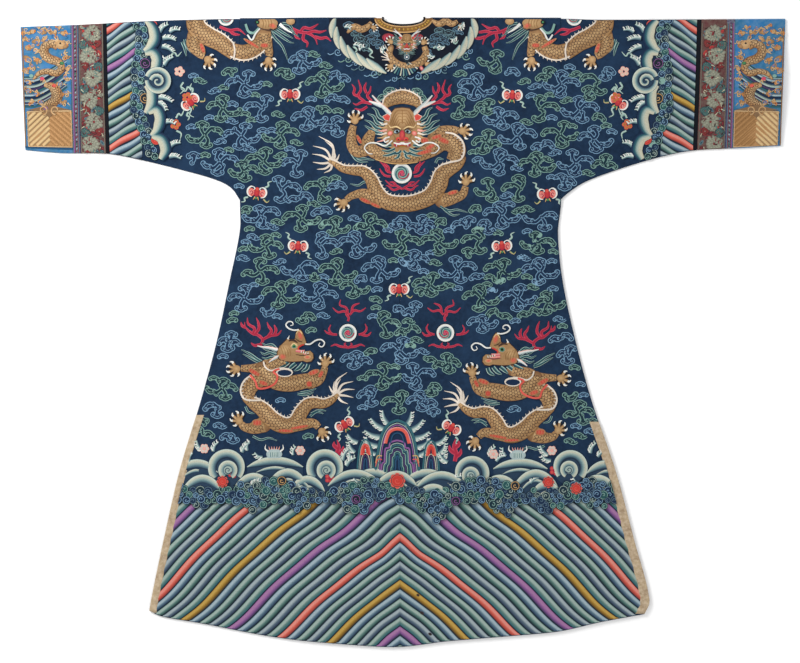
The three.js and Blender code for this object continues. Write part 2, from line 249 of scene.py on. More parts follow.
def curve_through(table, source, target):
    """A smooth curve through two columns of a table, flat past its ends."""
    xs = np.array(table[source], float)
    ys = np.array(table[target], float)
    ahead = np.minimum(np.arange(len(xs)) + 1, len(xs) - 1)
    behind = np.maximum(np.arange(len(xs)) - 1, 0)
    slopes = (ys[ahead] - ys[behind]) / (xs[ahead] - xs[behind])

    def value(x):
        x = np.clip(x, xs[0], xs[-1])
        i = np.clip(np.searchsorted(xs, x, side="right") - 1, 0, len(xs) - 2)
        span = xs[i + 1] - xs[i]
        t = (x - xs[i]) / span
        rise = smooth_step(t)
        tangents = t * (1 - t) ** 2 * slopes[i] + t * t * (t - 1) * slopes[i + 1]
        return ys[i] * (1 - rise) + ys[i + 1] * rise + span * tangents

    return value


shoulder_drop = curve_through(SHOULDER, "across", "drop")
hem_drop = curve_through(HEM, "across", "drop")
SIDE_REACH = {side: curve_through(SIDE_EDGES, "drop", side) for side in DIRECTION}
SLEEVE_UNDER = {side: curve_through(SLEEVE_UNDER_EDGES, "reach", side) for side in DIRECTION}


def edge_distance(across, drop):
    """Distance in from the body's side edge, or from the sleeve's underside edge."""
    reach = np.abs(across)
    left = across < 0
    side = np.where(left, SIDE_REACH["left"](drop), SIDE_REACH["right"](drop)) - reach
    under = np.where(left, SLEEVE_UNDER["left"](reach), SLEEVE_UNDER["right"](reach)) - drop
    armhole = np.where(left, SLEEVE_REACH["left"], SLEEVE_REACH["right"])
    corner = np.hypot(armhole - reach, UNDERARM_DROP - drop)
    return np.where(drop >= UNDERARM_DROP, side, np.where(reach >= armhole, under, corner))


def fold_height(fold, across, drop):
    """A soft trough or ridge along a line, fading out towards both ends."""
    start, end, width, height = fold
    along = np.subtract(end, start).astype(float)
    length = np.hypot(*along)
    travel = ((across - start[0]) * along[0] + (drop - start[1]) * along[1]) / length
    aside = ((across - start[0]) * along[1] - (drop - start[1]) * along[0]) / length
    taper = min(FOLD_END_TAPER, length / 3)
    ends = smooth_step(travel / taper) * smooth_step((length - travel) / taper)
    return height * ends * np.exp(-((aside / width) ** 2))


def layers_below(across, drop):
    left_settle = smooth_step((across + 300) / 120)
    on_sleeve = 1 - smooth_step((across - SLEEVE_REACH["right"]) / 80)
    right_settle = np.where(drop < UNDERARM_DROP, on_sleeve, 1)
    return TWO_LAYERS + (THREE_LAYERS - TWO_LAYERS) * left_settle * right_settle


def underside_of_back(across, drop):
    """Height of the lower face of the back and of the sleeves' upper walls."""
    reach, depth, fade = YOKE_FLAT
    near_neck = 1 - smooth_step((np.abs(across) - reach) / fade)
    from_shoulder = smooth_step((drop - shoulder_drop(across) - depth * near_neck) / SWELL_EDGE)
    from_edge = smooth_step(edge_distance(across, drop) / SWELL_EDGE)
    from_hem = smooth_step((hem_drop(across) - drop) / SWELL_HEM_EDGE)
    folds = sum(fold_height(fold, across, drop) for fold in FOLDS)
    fine = sum(fold_height(fold, across, drop) for fold in CREASES)
    fine = fine + 0.35 * np.sin(across / 17 + 2 * np.sin(drop / 47)) * np.sin(drop / 23 + np.sin(across / 61))
    near_edge = smooth_step(edge_distance(across, drop) / 30) * smooth_step((hem_drop(across) - drop) / 30)
    soft = from_shoulder * from_edge * from_hem * (SWELL + folds)
    return layers_below(across, drop) + soft + near_edge * fine * smooth_step((drop - 20) / 60)


def cloth_top(across, drop):
    return underside_of_back(across, drop) + CLOTH


def metres(across, drop, height):
    """Places on the robe in millimetres, as points in metres in the part's frame."""
    across, drop, height = np.broadcast_arrays(across, drop, height)
    return np.stack([SEAM_X + across * MM, SHOULDER_Y - drop * MM, height * MM], axis=-1)


# Materials

def new_material(name):
    material = bpy.data.materials.new(name)
    material.use_nodes = True
    nodes = material.node_tree.nodes
    return material, nodes, material.node_tree.links, nodes["Principled BSDF"]


def node(nodes, kind, **values):
    """A shader node with its properties and input values set."""
    made = nodes.new(kind)
    for key, value in values.items():
        if key in made.inputs:
            made.inputs[key].default_value = value
        else:
            setattr(made, key, value)
    return made


def stained(nodes, links, source, amount, scale, tint):
    """Mixes a colour towards a tint in soft uneven patches."""
    noise = node(nodes, "ShaderNodeTexNoise", Scale=scale, Detail=4.0, Roughness=0.6)
    spread = node(nodes, "ShaderNodeMapRange")
    spread.inputs["From Min"].default_value = 0.38
    spread.inputs["From Max"].default_value = 0.66
    spread.inputs["To Max"].default_value = amount
    mix = node(nodes, "ShaderNodeMix", data_type="RGBA")
    coordinates = node(nodes, "ShaderNodeTexCoord")
    links.new(coordinates.outputs["Object"], noise.inputs["Vector"])
    links.new(noise.outputs["Fac"], spread.inputs["Value"])
    links.new(spread.outputs["Result"], mix.inputs["Factor"])
    if isinstance(source, np.ndarray):
        mix.inputs["A"].default_value = (*source, 1)
    else:
        links.new(source, mix.inputs["A"])
    mix.inputs["B"].default_value = (*tint, 1)
    return mix.outputs["Result"]


def weave_bump(nodes, links, shader, pitch, strength, depth):
    """Crossing threads as fine bump, with a slow pucker over them."""
    coordinates = node(nodes, "ShaderNodeTexCoord")
    warp = node(nodes, "ShaderNodeTexWave", Scale=1 / pitch / 6.283, Distortion=0.6, Detail=1.0)
    warp.bands_direction = "X"
    weft = node(nodes, "ShaderNodeTexWave", Scale=1 / pitch / 6.283, Distortion=0.6, Detail=1.0)
    weft.bands_direction = "Y"
    pucker = node(nodes, "ShaderNodeTexNoise", Scale=160.0, Detail=3.0, Roughness=0.55)
    crossed = node(nodes, "ShaderNodeMath", operation="MULTIPLY")
    total = node(nodes, "ShaderNodeMath", operation="ADD")
    bump = node(nodes, "ShaderNodeBump", Strength=strength, Distance=depth)
    for texture in (warp, weft, pucker):
        links.new(coordinates.outputs["Object"], texture.inputs["Vector"])
    links.new(warp.outputs["Fac"], crossed.inputs[0])
    links.new(weft.outputs["Fac"], crossed.inputs[1])
    links.new(crossed.outputs[0], total.inputs[0])
    links.new(pucker.outputs["Fac"], total.inputs[1])
    links.new(total.outputs[0], bump.inputs["Height"])
    links.new(bump.outputs["Normal"], shader.inputs["Normal"])


def cloth_material(name, colour, tints, roughness=0.75, sheen=0.04, pitch=0.0011):
    """Woven silk: a base colour with uneven fading, and crossing threads."""
    material, nodes, links, shader = new_material(name)
    source = linear(colour) if isinstance(colour, str) else np.array(colour)
    for amount, scale, tint in tints:
        source = stained(nodes, links, source, amount, scale, linear(tint))
    links.new(source, shader.inputs["Base Color"])
    shader.inputs["Roughness"].default_value = roughness
    shader.inputs["Sheen Weight"].default_value = sheen
    shader.inputs["Specular IOR Level"].default_value = 0.08
    weave_bump(nodes, links, shader, pitch, 0.5, 0.0003)
    return material


def thread_material(name, roughness, metallic, pitch):
    """Silk or gold thread: its colour is painted on the mesh, and its stitches run across the map."""
    material, nodes, links, shader = new_material(name)
    paint = node(nodes, "ShaderNodeAttribute", attribute_name="thread_colour")
    coordinates = node(nodes, "ShaderNodeTexCoord")
    patch = node(nodes, "ShaderNodeTexNoise", Scale=420.0, Detail=2.0)
    shade = node(nodes, "ShaderNodeMapRange")
    shade.inputs["To Min"].default_value = 0.74
    shade.inputs["To Max"].default_value = 1.18
    uneven = node(nodes, "ShaderNodeVectorMath", operation="SCALE")
    stitches = node(nodes, "ShaderNodeTexWave", Scale=1 / pitch / 6.283, Distortion=1.2, Detail=1.0)
    stitches.bands_direction = "X"
    bump = node(nodes, "ShaderNodeBump", Strength=0.6, Distance=0.0004)
    links.new(coordinates.outputs["Object"], patch.inputs["Vector"])
    links.new(patch.outputs["Fac"], shade.inputs["Value"])
    links.new(paint.outputs["Color"], uneven.inputs[0])
    links.new(shade.outputs["Result"], uneven.inputs["Scale"])
    links.new(uneven.outputs["Vector"], shader.inputs["Base Color"])
    links.new(coordinates.outputs["UV"], stitches.inputs["Vector"])
    links.new(stitches.outputs["Fac"], bump.inputs["Height"])
    links.new(bump.outputs["Normal"], shader.inputs["Normal"])
    shader.inputs["Roughness"].default_value = roughness
    shader.inputs["Metallic"].default_value = metallic
    shader.inputs["Specular IOR Level"].default_value = 0.15
    shader.inputs["Sheen Weight"].default_value = 0.03
    return material


NAVY = cloth_material("navy silk", "ground", [
    (0.5, 9.0, "ground faded"), (0.5, 26.0, "ground deep"), (0.35, 110.0, "ground faded"),
])
YOKE = cloth_material("yoke silk", "yoke ground", [(0.5, 30.0, "ground deep")])
PIPING = cloth_material("black piping", "black", [(0.2, 60.0, "stripe line")], roughness=0.8, sheen=0.02)
BROWN = cloth_material(
    "brown band silk", "band brown", [(0.5, 60.0, "leaf dark"), (0.4, 130.0, "flower dark")]
)
RIBBON = cloth_material("woven ribbon", "ribbon ground", [(0.4, 200.0, "pearl grey")], pitch=0.0008)
CUFF = cloth_material("cuff silk", "cuff blue", [(0.6, 25.0, "teal"), (0.2, 90.0, "pearl grey")])
BROCADE = cloth_material(
    "gold brocade", "brocade", [(0.6, 45.0, "brocade dark"), (0.6, 140.0, "brocade light")]
)
COLLAR = cloth_material(
    "collar brocade", "collar gold", [(0.7, 60.0, "collar dark"), (0.4, 160.0, "gold brown")]
)
FLOSS = thread_material("silk floss", 0.6, 0.0, 0.0007)
GOLD_THREAD = thread_material("gold thread", 0.46, 0.2, 0.0006)


# Cloth shells

def add_piece(name, points, faces, material, replaces=()):
    """A mesh object that rides with the robe."""
    mesh = bpy.data.meshes.new(name)
    mesh.from_pydata(points, [], faces)
    mesh.materials.append(material)
    mesh.update()
    mesh.polygons.foreach_set("use_smooth", np.ones(len(mesh.polygons), bool))
    piece = bpy.data.objects.new(name, mesh)
    bpy.context.collection.objects.link(piece)
    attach(piece, "root")
    if replaces:
        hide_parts(*replaces)
    return piece


def bevelled(length, step):
    """Distances along a length, with close steps at both ends for a soft edge."""
    ends = np.array([0, 0.5, 1.3, 2.6])
    count = max(int(round((length - 2 * ends[-1]) / step)), 1)
    middle = np.linspace(ends[-1], length - ends[-1], count + 1)
    return np.concatenate([ends[:-1], middle, length - ends[-2::-1]])


def rounded(distance, radius=2.4):
    """Share of the cloth's thickness that is left near an edge."""
    t = np.clip(distance / radius, 0, 1)
    return 0.35 + 0.65 * np.sqrt(1 - (1 - t) ** 2)


def grid_faces(rows, columns, offset=0, flip=False, closed=False):
    """Quads over a grid of points that is stored row by row."""
    r = np.arange(rows - 1)[:, None]
    c = np.arange(columns if closed else columns - 1)[None, :]
    following = (c + 1) % columns
    quads = np.stack([
        r * columns + c, r * columns + following, (r + 1) * columns + following, (r + 1) * columns + c,
    ], axis=-1)
    quads = quads.reshape(-1, 4) + offset
    return quads[:, ::-1] if flip else quads


def wall_from_grids(name, upper, lower, material, replaces):
    """A closed wall between two grids of points, seen from above with its first row at the shoulder."""
    rows, columns = upper.shape[:2]
    count = rows * columns
    flip = np.cross(upper[0, 1] - upper[0, 0], upper[1, 0] - upper[0, 0])[2] < 0
    faces = [grid_faces(rows, columns, 0, flip), grid_faces(rows, columns, count, not flip)]
    index = np.arange(count).reshape(rows, columns)
    rim = np.concatenate([index[0, :-1], index[:-1, -1], index[-1, :0:-1], index[:0:-1, 0]])
    after = np.roll(rim, -1)
    sides = np.stack([rim, rim + count, after + count, after], axis=1)
    faces.append(sides[:, ::-1] if flip else sides)
    points = np.concatenate([upper.reshape(-1, 3), lower.reshape(-1, 3)])
    return add_piece(name, points.tolist(), np.concatenate(faces).tolist(), material, replaces)


def side_line_reach(side, drop):
    return np.where(drop < UNDERARM_DROP, SLEEVE_REACH[side], SIDE_REACH[side](drop))


def edge_reach_at(side, share):
    """Reach of the side edge at a share of the way from the shoulder to the hem."""
    reach = np.full(np.shape(share), float(SLEEVE_REACH[side]))
    for _ in range(12):
        reach = side_line_reach(side, share * hem_drop(DIRECTION[side] * reach))
    return reach


def back_top_drop(across):
    """Upper edge of the back: the shoulder fold, cut away below the collar."""
    half_width, depth = NECK_CUT
    share = np.clip((across - NECK_CENTRE) / half_width, -1, 1)
    return np.where(np.abs(share) < 1, depth * np.sqrt(1 - share**2), shoulder_drop(across))


def back_panel(side):
    """One half of the back, from the centre seam to the side edge, folded down at the shoulder."""
    direction = DIRECTION[side]
    rows = bevelled(LENGTH, 9) / LENGTH
    edges = edge_reach_at(side, rows)
    shares = bevelled(HALF_WIDTH, 8.5)
    reach = np.stack([HALF_GAP + (edge - 2 * HALF_GAP) * shares / HALF_WIDTH for edge in edges])
    across = direction * reach
    top = back_top_drop(across)
    drop = top + rows[:, None] * (hem_drop(across) - top)
    seam = np.minimum(reach - HALF_GAP, edges[:, None] - HALF_GAP - reach)
    thickness = CLOTH * rounded(np.minimum(seam, hem_drop(across) - drop))
    under = underside_of_back(across, drop)
    upper = metres(across, drop, under + thickness)
    lower = metres(across, drop, under)
    turn = np.radians(np.linspace(-70, 80, 6))[:, None]
    height = under[0] + thickness[0]
    folded = np.abs(across[0] - NECK_CENTRE) > NECK_UNFOLDED
    radius = np.where(folded, height / 2 - 0.05, CLOTH / 2)
    middle = np.where(folded, height / 2 + 0.05, height - CLOTH / 2)
    bend_drop = top[0] - 0.9 * radius * np.cos(turn) * np.where(folded, 1, 0.3)
    bend = metres(across[0], bend_drop, middle + radius * np.sin(turn))
    inner = metres(across[0], bend_drop + 0.6, middle + (radius - 0.5) * np.sin(turn))
    upper = np.concatenate([bend, upper[1:]])
    lower = np.concatenate([inner, lower[1:]])
    piece = wall_from_grids(f"cloth_back_{side}", upper, lower, NAVY, [f"back_{side}"])
    return piece


def sleeve_ring(side, top, under, ts):
    """Outer and inner rings of a sleeve's wall where a boundary runs from the fold to the underside."""
    direction = DIRECTION[side]
    reach = top + (under - top) * ts
    across = direction * reach
    low = shoulder_drop(across)
    drop = low + (SLEEVE_UNDER[side](reach) - low) * ts
    span = drop[-1] - drop[0]
    from_fold = np.minimum(ts, 1 - ts) * span
    height = cloth_top(across, drop)
    belly = np.sqrt(1 - (1 - np.clip(from_fold / 3.5, 0, 1)) ** 2)
    middle = height / 2
    upper = metres(across, drop, middle + (height - middle) * belly)
    lower = metres(across, drop, middle - (middle - 0.05) * belly)
    return np.concatenate([upper, lower[-2:0:-1]])


def flattened(ring, centre, height, width):
    """A ring drawn in towards its centre, in height and from fold to underside."""
    moved = ring.copy()
    moved[:, 2] = centre[2] + (ring[:, 2] - centre[2]) * height
    moved[:, 1] = centre[1] + (ring[:, 1] - centre[1]) * width
    return moved


def sleeve_tube(name, side, start, end, step, material, node_name):
    """A flattened sleeve piece, from one boundary to the next, with its wall turned in at both ends."""
    ts = bevelled(TUBE_DEPTH, 9) / TUBE_DEPTH
    length = end[0] - start[0]
    along = bevelled(length, step) / length
    rings = []
    for share in along:
        top = start[0] + (end[0] - start[0]) * share
        under = start[1] + (end[1] - start[1]) * share
        rings.append(sleeve_ring(side, top, under, ts))
    centres = [ring.mean(axis=0) for ring in rings]
    shrink = [rounded(min(s, 1 - s) * length, 1.2) for s in along]
    outer = []
    for ring, centre, share in zip(rings, centres, shrink):
        moved = ring.copy()
        moved[:, 2] = centre[2] + (ring[:, 2] - centre[2]) * (0.75 + 0.25 * share)
        outer.append(moved)
    inner = [flattened(ring, centre, 0.35, 0.992) for ring, centre in zip(rings, centres)]
    points = np.concatenate(outer + inner[::-1])
    count = len(rings[0])
    total = len(outer) + len(inner)
    flip = side == "right"
    faces = grid_faces(total, count, 0, flip, closed=True)
    last = (total - 1) * count + np.arange(count)
    first = np.arange(count)
    ends = np.stack([last, np.roll(last, -1), np.roll(first, -1), first], axis=1)
    faces = np.concatenate([faces, ends[:, ::-1] if flip else ends])
    piece = add_piece(name, points.tolist(), faces.tolist(), material, [node_name])
    return piece


def sleeves():
    materials = [NAVY, PIPING, BROWN, RIBBON, CUFF]
    slots = ["navy_silk", "black_piping", "flowered_band", "woven_ribbon", "cuff_silk"]
    for side in DIRECTION:
        start = (SLEEVE_REACH[side] + HALF_GAP, SLEEVE_REACH[side] + HALF_GAP)
        for row, material, slot in zip(SLEEVE_PIECES, materials, slots):
            end = row[SIDE_COLUMN[side]]
            sleeve_tube(f"cloth_{row[0]}_{side}", side, start, end, 9, material, f"{row[0]}_{side}")
            start = (end[0] + SEAM_GAP, end[1] + SEAM_GAP)


def vent_band(side):
    """Gold band on the back's outer edge, from the top of the side vent to the hem."""
    direction = DIRECTION[side]
    width = VENT_BAND_WIDTH[side]
    rows = np.linspace(0, 1, 60)
    corner = float(hem_drop(direction * VENT_FOOT_REACH))
    drop = VENT_TOP[side] + rows * (corner - VENT_TOP[side])
    edge = SIDE_REACH[side](drop)
    shares = bevelled(width, 4)
    reach = edge[:, None] - width + shares[None, :]
    across = direction * reach
    down = np.minimum(np.broadcast_to(drop[:, None], across.shape), hem_drop(across))
    base = cloth_top(across, down)
    edge_round = rounded(np.minimum(shares, width - shares))[None, :]
    upper = metres(across, down, base + 0.25 + TRIM * edge_round)
    lower = metres(across, down, base + 0.1)
    name = f"vent_band_{side}_back"
    piece = wall_from_grids(f"cloth_{name}", upper, lower, BROCADE, [name])
    return piece


def neck_ring(row, inner, face, material):
    """A half ring round the neck: over the back's cloth, or in the front's own layer."""
    name, half_width = row[:2]
    on_back = face == "back"
    depth = row[2 if on_back else 3]
    inner_depth = inner[2 if on_back else 3]
    turns = np.linspace(0, math.pi, 90)
    band = half_width - inner[1]
    shares = bevelled(band, 5) / band
    gap = 0 if inner is NECK_EDGE else SEAM_GAP
    across_radius = inner[1] + gap + (band - gap) * shares
    drop_radius = inner_depth + gap + (depth - inner_depth - gap) * shares
    across = NECK_CENTRE - np.cos(turns)[:, None] * across_radius[None, :]
    drop = np.sin(turns)[:, None] * drop_radius[None, :]
    drop[[0, -1]] -= NECK_STANDS[name]
    height = THREE_LAYERS + CLOTH + SEAM_GAP if on_back else 0
    edge_round = rounded(np.minimum(shares, 1 - shares) * band)[None, :]
    upper = metres(across, drop, height + (TRIM if on_back else CLOTH) * edge_round)
    lower = metres(across, drop, height)
    piece = wall_from_grids(f"cloth_{name}_{face}", upper, lower, material, [f"{name}_{face}"])
    return piece


def yoke_arc(across):
    """Lower edge of the front yoke, with the seam's gap, and the shoulder beyond it."""
    _, half_width, _, depth = NECK_PIECES[2]
    share = (across - NECK_CENTRE) / (half_width + SEAM_GAP)
    arc = (depth + SEAM_GAP) * np.sqrt(np.maximum(1 - share**2, 0))
    return np.where(np.abs(share) < 1, arc, 0)


def closing_edge(across):
    """Upper edge of the overlap: the yoke's arc, then the curve that closes at the underarm."""
    half_width = NECK_PIECES[2][1] + SEAM_GAP
    start = NECK_CENTRE + half_width * math.cos(math.pi * (1 - CLOSING_TURN))
    share = np.clip((across - start) / (SLEEVE_REACH["right"] - HALF_GAP - start), 0, 1)
    first = float(yoke_arc(np.array(start)))
    return np.where(across < start, yoke_arc(across), first + (UNDERARM_DROP - first) * smooth_step(share))


def inner_neck(across):
    """Upper edge of the inner right front, cut away round the neck."""
    _, half_width, _, depth = NECK_EDGE
    share = (across - NECK_CENTRE) / half_width
    return np.where(np.abs(share) < 1, depth * np.sqrt(np.maximum(1 - share**2, 0)), 0)


def front_panel(name, side, top_edge, first, level=0.0, shorter=0, notched=True):
    """One front panel, flat on the surface, with a notch at its side for the vent's band."""
    direction = DIRECTION[side]
    inset = VENT_BAND_WIDTH[side] + SEAM_GAP
    start = float(top_edge(np.array(direction * (SLEEVE_REACH[side] - HALF_GAP))))
    corner = float(hem_drop(direction * SIDE_REACH[side](SIDE_FOOT_DROP)))
    vent = (VENT_TOP[side] - start) / (corner - start)
    rows = np.sort(np.concatenate([bevelled(LENGTH, 14) / LENGTH, [vent - 0.0004, vent + 0.0004]]))
    down = start + rows * (corner - shorter - start)
    edges = side_line_reach(side, down) - np.where(notched & (rows > vent), inset, HALF_GAP)
    shares = bevelled(HALF_WIDTH, 14) / HALF_WIDTH
    reach = first + (edges[:, None] - first) * shares[None, :]
    across = direction * reach
    top = top_edge(across)
    drop = top + rows[:, None] * (hem_drop(across) - shorter - top)
    from_side = np.minimum(shares, 1 - shares)[None, :] * HALF_WIDTH
    from_edge = np.minimum(from_side, np.minimum(rows, 1 - rows)[:, None] * LENGTH)
    upper = metres(across, drop, level + CLOTH * rounded(from_edge))
    lower = metres(across, drop, level)
    piece = wall_from_grids(f"cloth_{name}", upper, lower, NAVY, [name])
    return piece


def front_vent_band(side):
    """Gold band on the front's outer edge, in the front's own layer."""
    width = VENT_BAND_WIDTH[side]
    corner = float(hem_drop(DIRECTION[side] * VENT_FOOT_REACH))
    rows = bevelled(corner - VENT_TOP[side] - SEAM_GAP, 9)
    drop = VENT_TOP[side] + SEAM_GAP + rows
    shares = bevelled(width, 4)
    reach = SIDE_REACH[side](drop)[:, None] - width + shares[None, :]
    across = DIRECTION[side] * reach
    down = np.minimum(np.broadcast_to(drop[:, None], across.shape), hem_drop(across))
    upper = metres(across, down, CLOTH * rounded(np.minimum(shares, width - shares))[None, :])
    lower = metres(across, down, 0)
    name = f"vent_band_{side}_front"
    piece = wall_from_grids(f"cloth_{name}", upper, lower, BROCADE, [name])
    return piece


def fronts():
    front_panel("front_left", "left", yoke_arc, HALF_GAP)
    front_panel("front_overlap", "right", closing_edge, HALF_GAP)
    front_panel(
        "front_under", "right", inner_neck, NECK_CENTRE + 2, UNDER_FLAP_LEVEL, UNDER_FLAP_SHORTER, False
    )
    for side in DIRECTION:
        front_vent_band(side)


# Stitching

def smooth_path(points, step=4.0):
    """Evenly spaced points on a smooth curve through the given ones."""
    points = np.array(points, float)
    if len(points) < 3:
        length = np.linalg.norm(points[-1] - points[0])
        share = np.linspace(0, 1, max(int(length / step), 1) + 1)[:, None]
        return points[0] + (points[-1] - points[0]) * share
    ahead = np.vstack([points[1:], points[-1:]])
    behind = np.vstack([points[:1], points[:-1]])
    tangents = (ahead - behind) / 2
    tangents[0] *= 2
    tangents[-1] *= 2
    pieces = []
    t = np.linspace(0, 1, 13)[:-1, None]
    for i in range(len(points) - 1):
        blend = points[i] * (2 * t**3 - 3 * t**2 + 1) + points[i + 1] * (3 * t**2 - 2 * t**3)
        pieces.append(blend + tangents[i] * (t**3 - 2 * t**2 + t) + tangents[i + 1] * (t**3 - t**2))
    line = np.vstack(pieces + [points[-1:]])
    along = np.concatenate([[0], np.cumsum(np.linalg.norm(np.diff(line, axis=0), axis=1))])
    at = np.linspace(0, along[-1], max(int(along[-1] / step), 2) + 1)
    return np.stack([np.interp(at, along, line[:, k]) for k in range(2)], axis=1)


def side_normals(path):
    """Unit vectors to the left of a path's direction."""
    tangent = np.gradient(path, axis=0)
    tangent /= np.maximum(np.linalg.norm(tangent, axis=1, keepdims=True), 1e-9)
    return np.stack([tangent[:, 1], -tangent[:, 0]], axis=1)


def ellipse(across, drop, wide, high, turn=0.0, count=16):
    """Points round an ellipse, turned by an angle in degrees."""
    a = np.linspace(0, 2 * math.pi, count, endpoint=False)
    x = wide * np.cos(a)
    y = high * np.sin(a)
    cosine = math.cos(math.radians(turn))
    sine = math.sin(math.radians(turn))
    return np.stack([across + x * cosine - y * sine, drop + x * sine + y * cosine], axis=1)


def spiral(across, drop, radius, turns, start, hand=1):
    """Points on a spiral that winds in towards its centre."""
    count = max(int(turns * 14), 5)
    share = np.linspace(0, 1, count)
    angle = math.radians(start) + hand * share * turns * 2 * math.pi
    r = radius * (1 - 0.86 * share)
    return np.stack([across + r * np.cos(angle), drop + r * np.sin(angle)], axis=1)


def lengths_along(path):
    return np.concatenate([[0], np.cumsum(np.linalg.norm(np.diff(path, axis=0), axis=1))])


def widths_along(path, width):
    """Widths at the points of a path, from one number or several evenly spaced ones."""
    shares = lengths_along(path)
    return np.interp(shares / shares[-1], np.linspace(0, 1, np.size(width)), np.atleast_1d(width))


def beside(path, at, out):
    """Across and drop of places at some lengths along a path, moved out to its left."""
    along = lengths_along(path)
    normals = side_normals(path)
    return [np.interp(at, along, path[:, k]) + out * np.interp(at, along, normals[:, k]) for k in range(2)]


class Stitching:
    """Coloured stitches laid on the cloth as one mesh. Each figure has its own place and axes."""

    def __init__(self):
        self.points = []
        self.colours = []
        self.threads = []
        self.faces = []
        self.count = 0
        self.strokes = 0
        self.place(0, 0)

    def place(self, across, drop, turn=0.0, mirror=False, scale=1.0):
        """Puts what follows at a place on the robe, turned clockwise by an angle in degrees."""
        t = math.radians(turn)
        flip = -scale if mirror else scale
        self.origin = np.array([across, drop], float)
        x_axis = [flip * math.cos(t), flip * math.sin(t)]
        y_axis = [-scale * math.sin(t), scale * math.cos(t)]
        self.axes = np.array([x_axis, y_axis])

    def level(self, lift):
        """A small step in height for each stroke, so that no two lie in one plane."""
        self.strokes += 1
        return lift + 0.002 * (self.strokes % 40)

    def add(self, points, colours, threads, faces):
        points = np.array(points, float)
        points[:, :2] = self.origin + points[:, :2] @ self.axes
        self.points.append(points)
        self.colours.append(np.asarray(colours, float))
        self.threads.append(np.asarray(threads, float))
        self.faces.extend((np.asarray(faces) + self.count).tolist())
        self.count += len(points)

    def ribbon(self, path, width, shades, lift=0.3, crown=0.0, step=4.0, smooth=True):
        """A band along a path. Its width is one number or several along it, its shades go across it."""
        if isinstance(shades, str):
            shades = [(-1, shades), (1, shades)]
        path = smooth_path(path, step) if smooth else np.array(path, float)
        widths = widths_along(path, width)
        offsets = np.array([offset for offset, _ in shades], float)
        aside = widths[:, None] * offsets / 2
        across = path[:, None, :] + side_normals(path)[:, None, :] * aside[..., None]
        height = self.level(lift) + crown * (1 - offsets**2)
        raised = np.broadcast_to(height[None, :, None], across.shape[:2] + (1,))
        lifted = np.concatenate([across, raised], axis=2)
        threads = np.stack(np.broadcast_arrays(lengths_along(path)[:, None], aside), axis=-1)
        paint = np.broadcast_to(np.array([linear(name) for _, name in shades])[None], lifted.shape)
        faces = grid_faces(len(path), len(shades))
        self.add(lifted.reshape(-1, 3), paint.reshape(-1, 3), threads.reshape(-1, 2) * MM, faces)

    def line(self, path, width, shade, lift=0.4, step=4.0):
        self.ribbon(path, width, shade, lift, step=step)

    def loop(self, outline, width, shade, lift=0.4):
        """A line all the way round an outline."""
        outline = np.array(outline, float)
        self.ribbon(np.vstack([outline, outline[:2]]), width, shade, lift, smooth=False)

    def fan(self, outline, centre_shade, edge_shade, lift=0.3, crown=0.0):
        """A rounded patch that shades from its centre to its edge."""
        outline = np.array(outline, float)
        centre = outline.mean(axis=0)
        height = self.level(lift)
        count = len(outline)
        inner = centre + (outline - centre) * 0.55
        points = np.vstack([
            np.column_stack([outline, np.full(count, height)]),
            np.column_stack([inner, np.full(count, height + crown * 0.6)]),
            [[*centre, height + crown]],
        ])
        edge, middle = linear(edge_shade), linear(centre_shade)
        paint = np.vstack([np.tile(edge, (count, 1)), np.tile((edge + middle) / 2, (count, 1)), middle[None]])
        i = np.arange(count)
        j = (i + 1) % count
        ring = np.stack([i, j, j + count, i + count], axis=1).tolist()
        hub = np.stack([i + count, j + count, np.full(count, 2 * count)], axis=1).tolist()
        start = self.count
        self.add(points, paint, points[:, :2] * MM, ring)
        self.faces.extend([[k + start for k in face] for face in hub])

    def disc(self, across, drop, radius, shade, lift=0.3, high=None, turn=0.0, count=12):
        outline = ellipse(across, drop, radius, high or radius, turn, count)
        points = np.column_stack([outline, np.full(count, self.level(lift))])
        self.add(points, np.tile(linear(shade), (count, 1)), outline * MM, [list(range(count))])

    def fill(self, outline, shade, lift=0.3):
        """A flat patch inside an outline."""
        outline = np.array(outline, float)
        triangles = geometry.tessellate_polygon([[(x, y, 0) for x, y in outline]])
        points = np.column_stack([outline, np.full(len(outline), self.level(lift))])
        self.add(points, np.tile(linear(shade), (len(outline), 1)), outline * MM, list(triangles))

    def scales(self, path, width, lift, crown, pitch=7.4):
        """Rows of scales over a band, each one drawn as a thin dark arc."""
        along = lengths_along(path)
        widths = widths_along(path, width)
        arcs = []
        for k, s in enumerate(np.arange(2.5, along[-1] - 3, 0.8 * pitch)):
            wide = np.interp(s, along, widths) - 2.4
            cell = wide / max(round(wide / pitch), 1)
            first = -wide / 2 + (cell / 2 if k % 2 else cell)
            arcs += [(s, aside, cell, wide) for aside in np.arange(first, wide / 2 - 0.3 * cell, cell)]
        if not arcs:
            return
        s, aside, cell, wide = (np.array(column)[:, None, None] for column in zip(*arcs))
        turn = np.array([-1, -0.55, 0, 0.55, 1])[None, None, :]
        at = s + 0.55 * pitch * (1 - turn**2) + np.array([-0.85, 0.85])[None, :, None]
        out = np.broadcast_to(aside + turn * cell / 2, at.shape)
        spot = beside(path, at, out)
        height = lift + crown * (1 - (2 * out / (wide + 2.4)) ** 2)
        points = np.stack([*spot, height], axis=-1).reshape(-1, 3)
        arc = grid_faces(2, 5)
        faces = (np.arange(len(arcs))[:, None, None] * 10 + arc[None]).reshape(-1, 4)
        paint = np.tile(linear("dragon line"), (len(points), 1))
        self.add(points, paint, points[:, :2] * MM, faces)

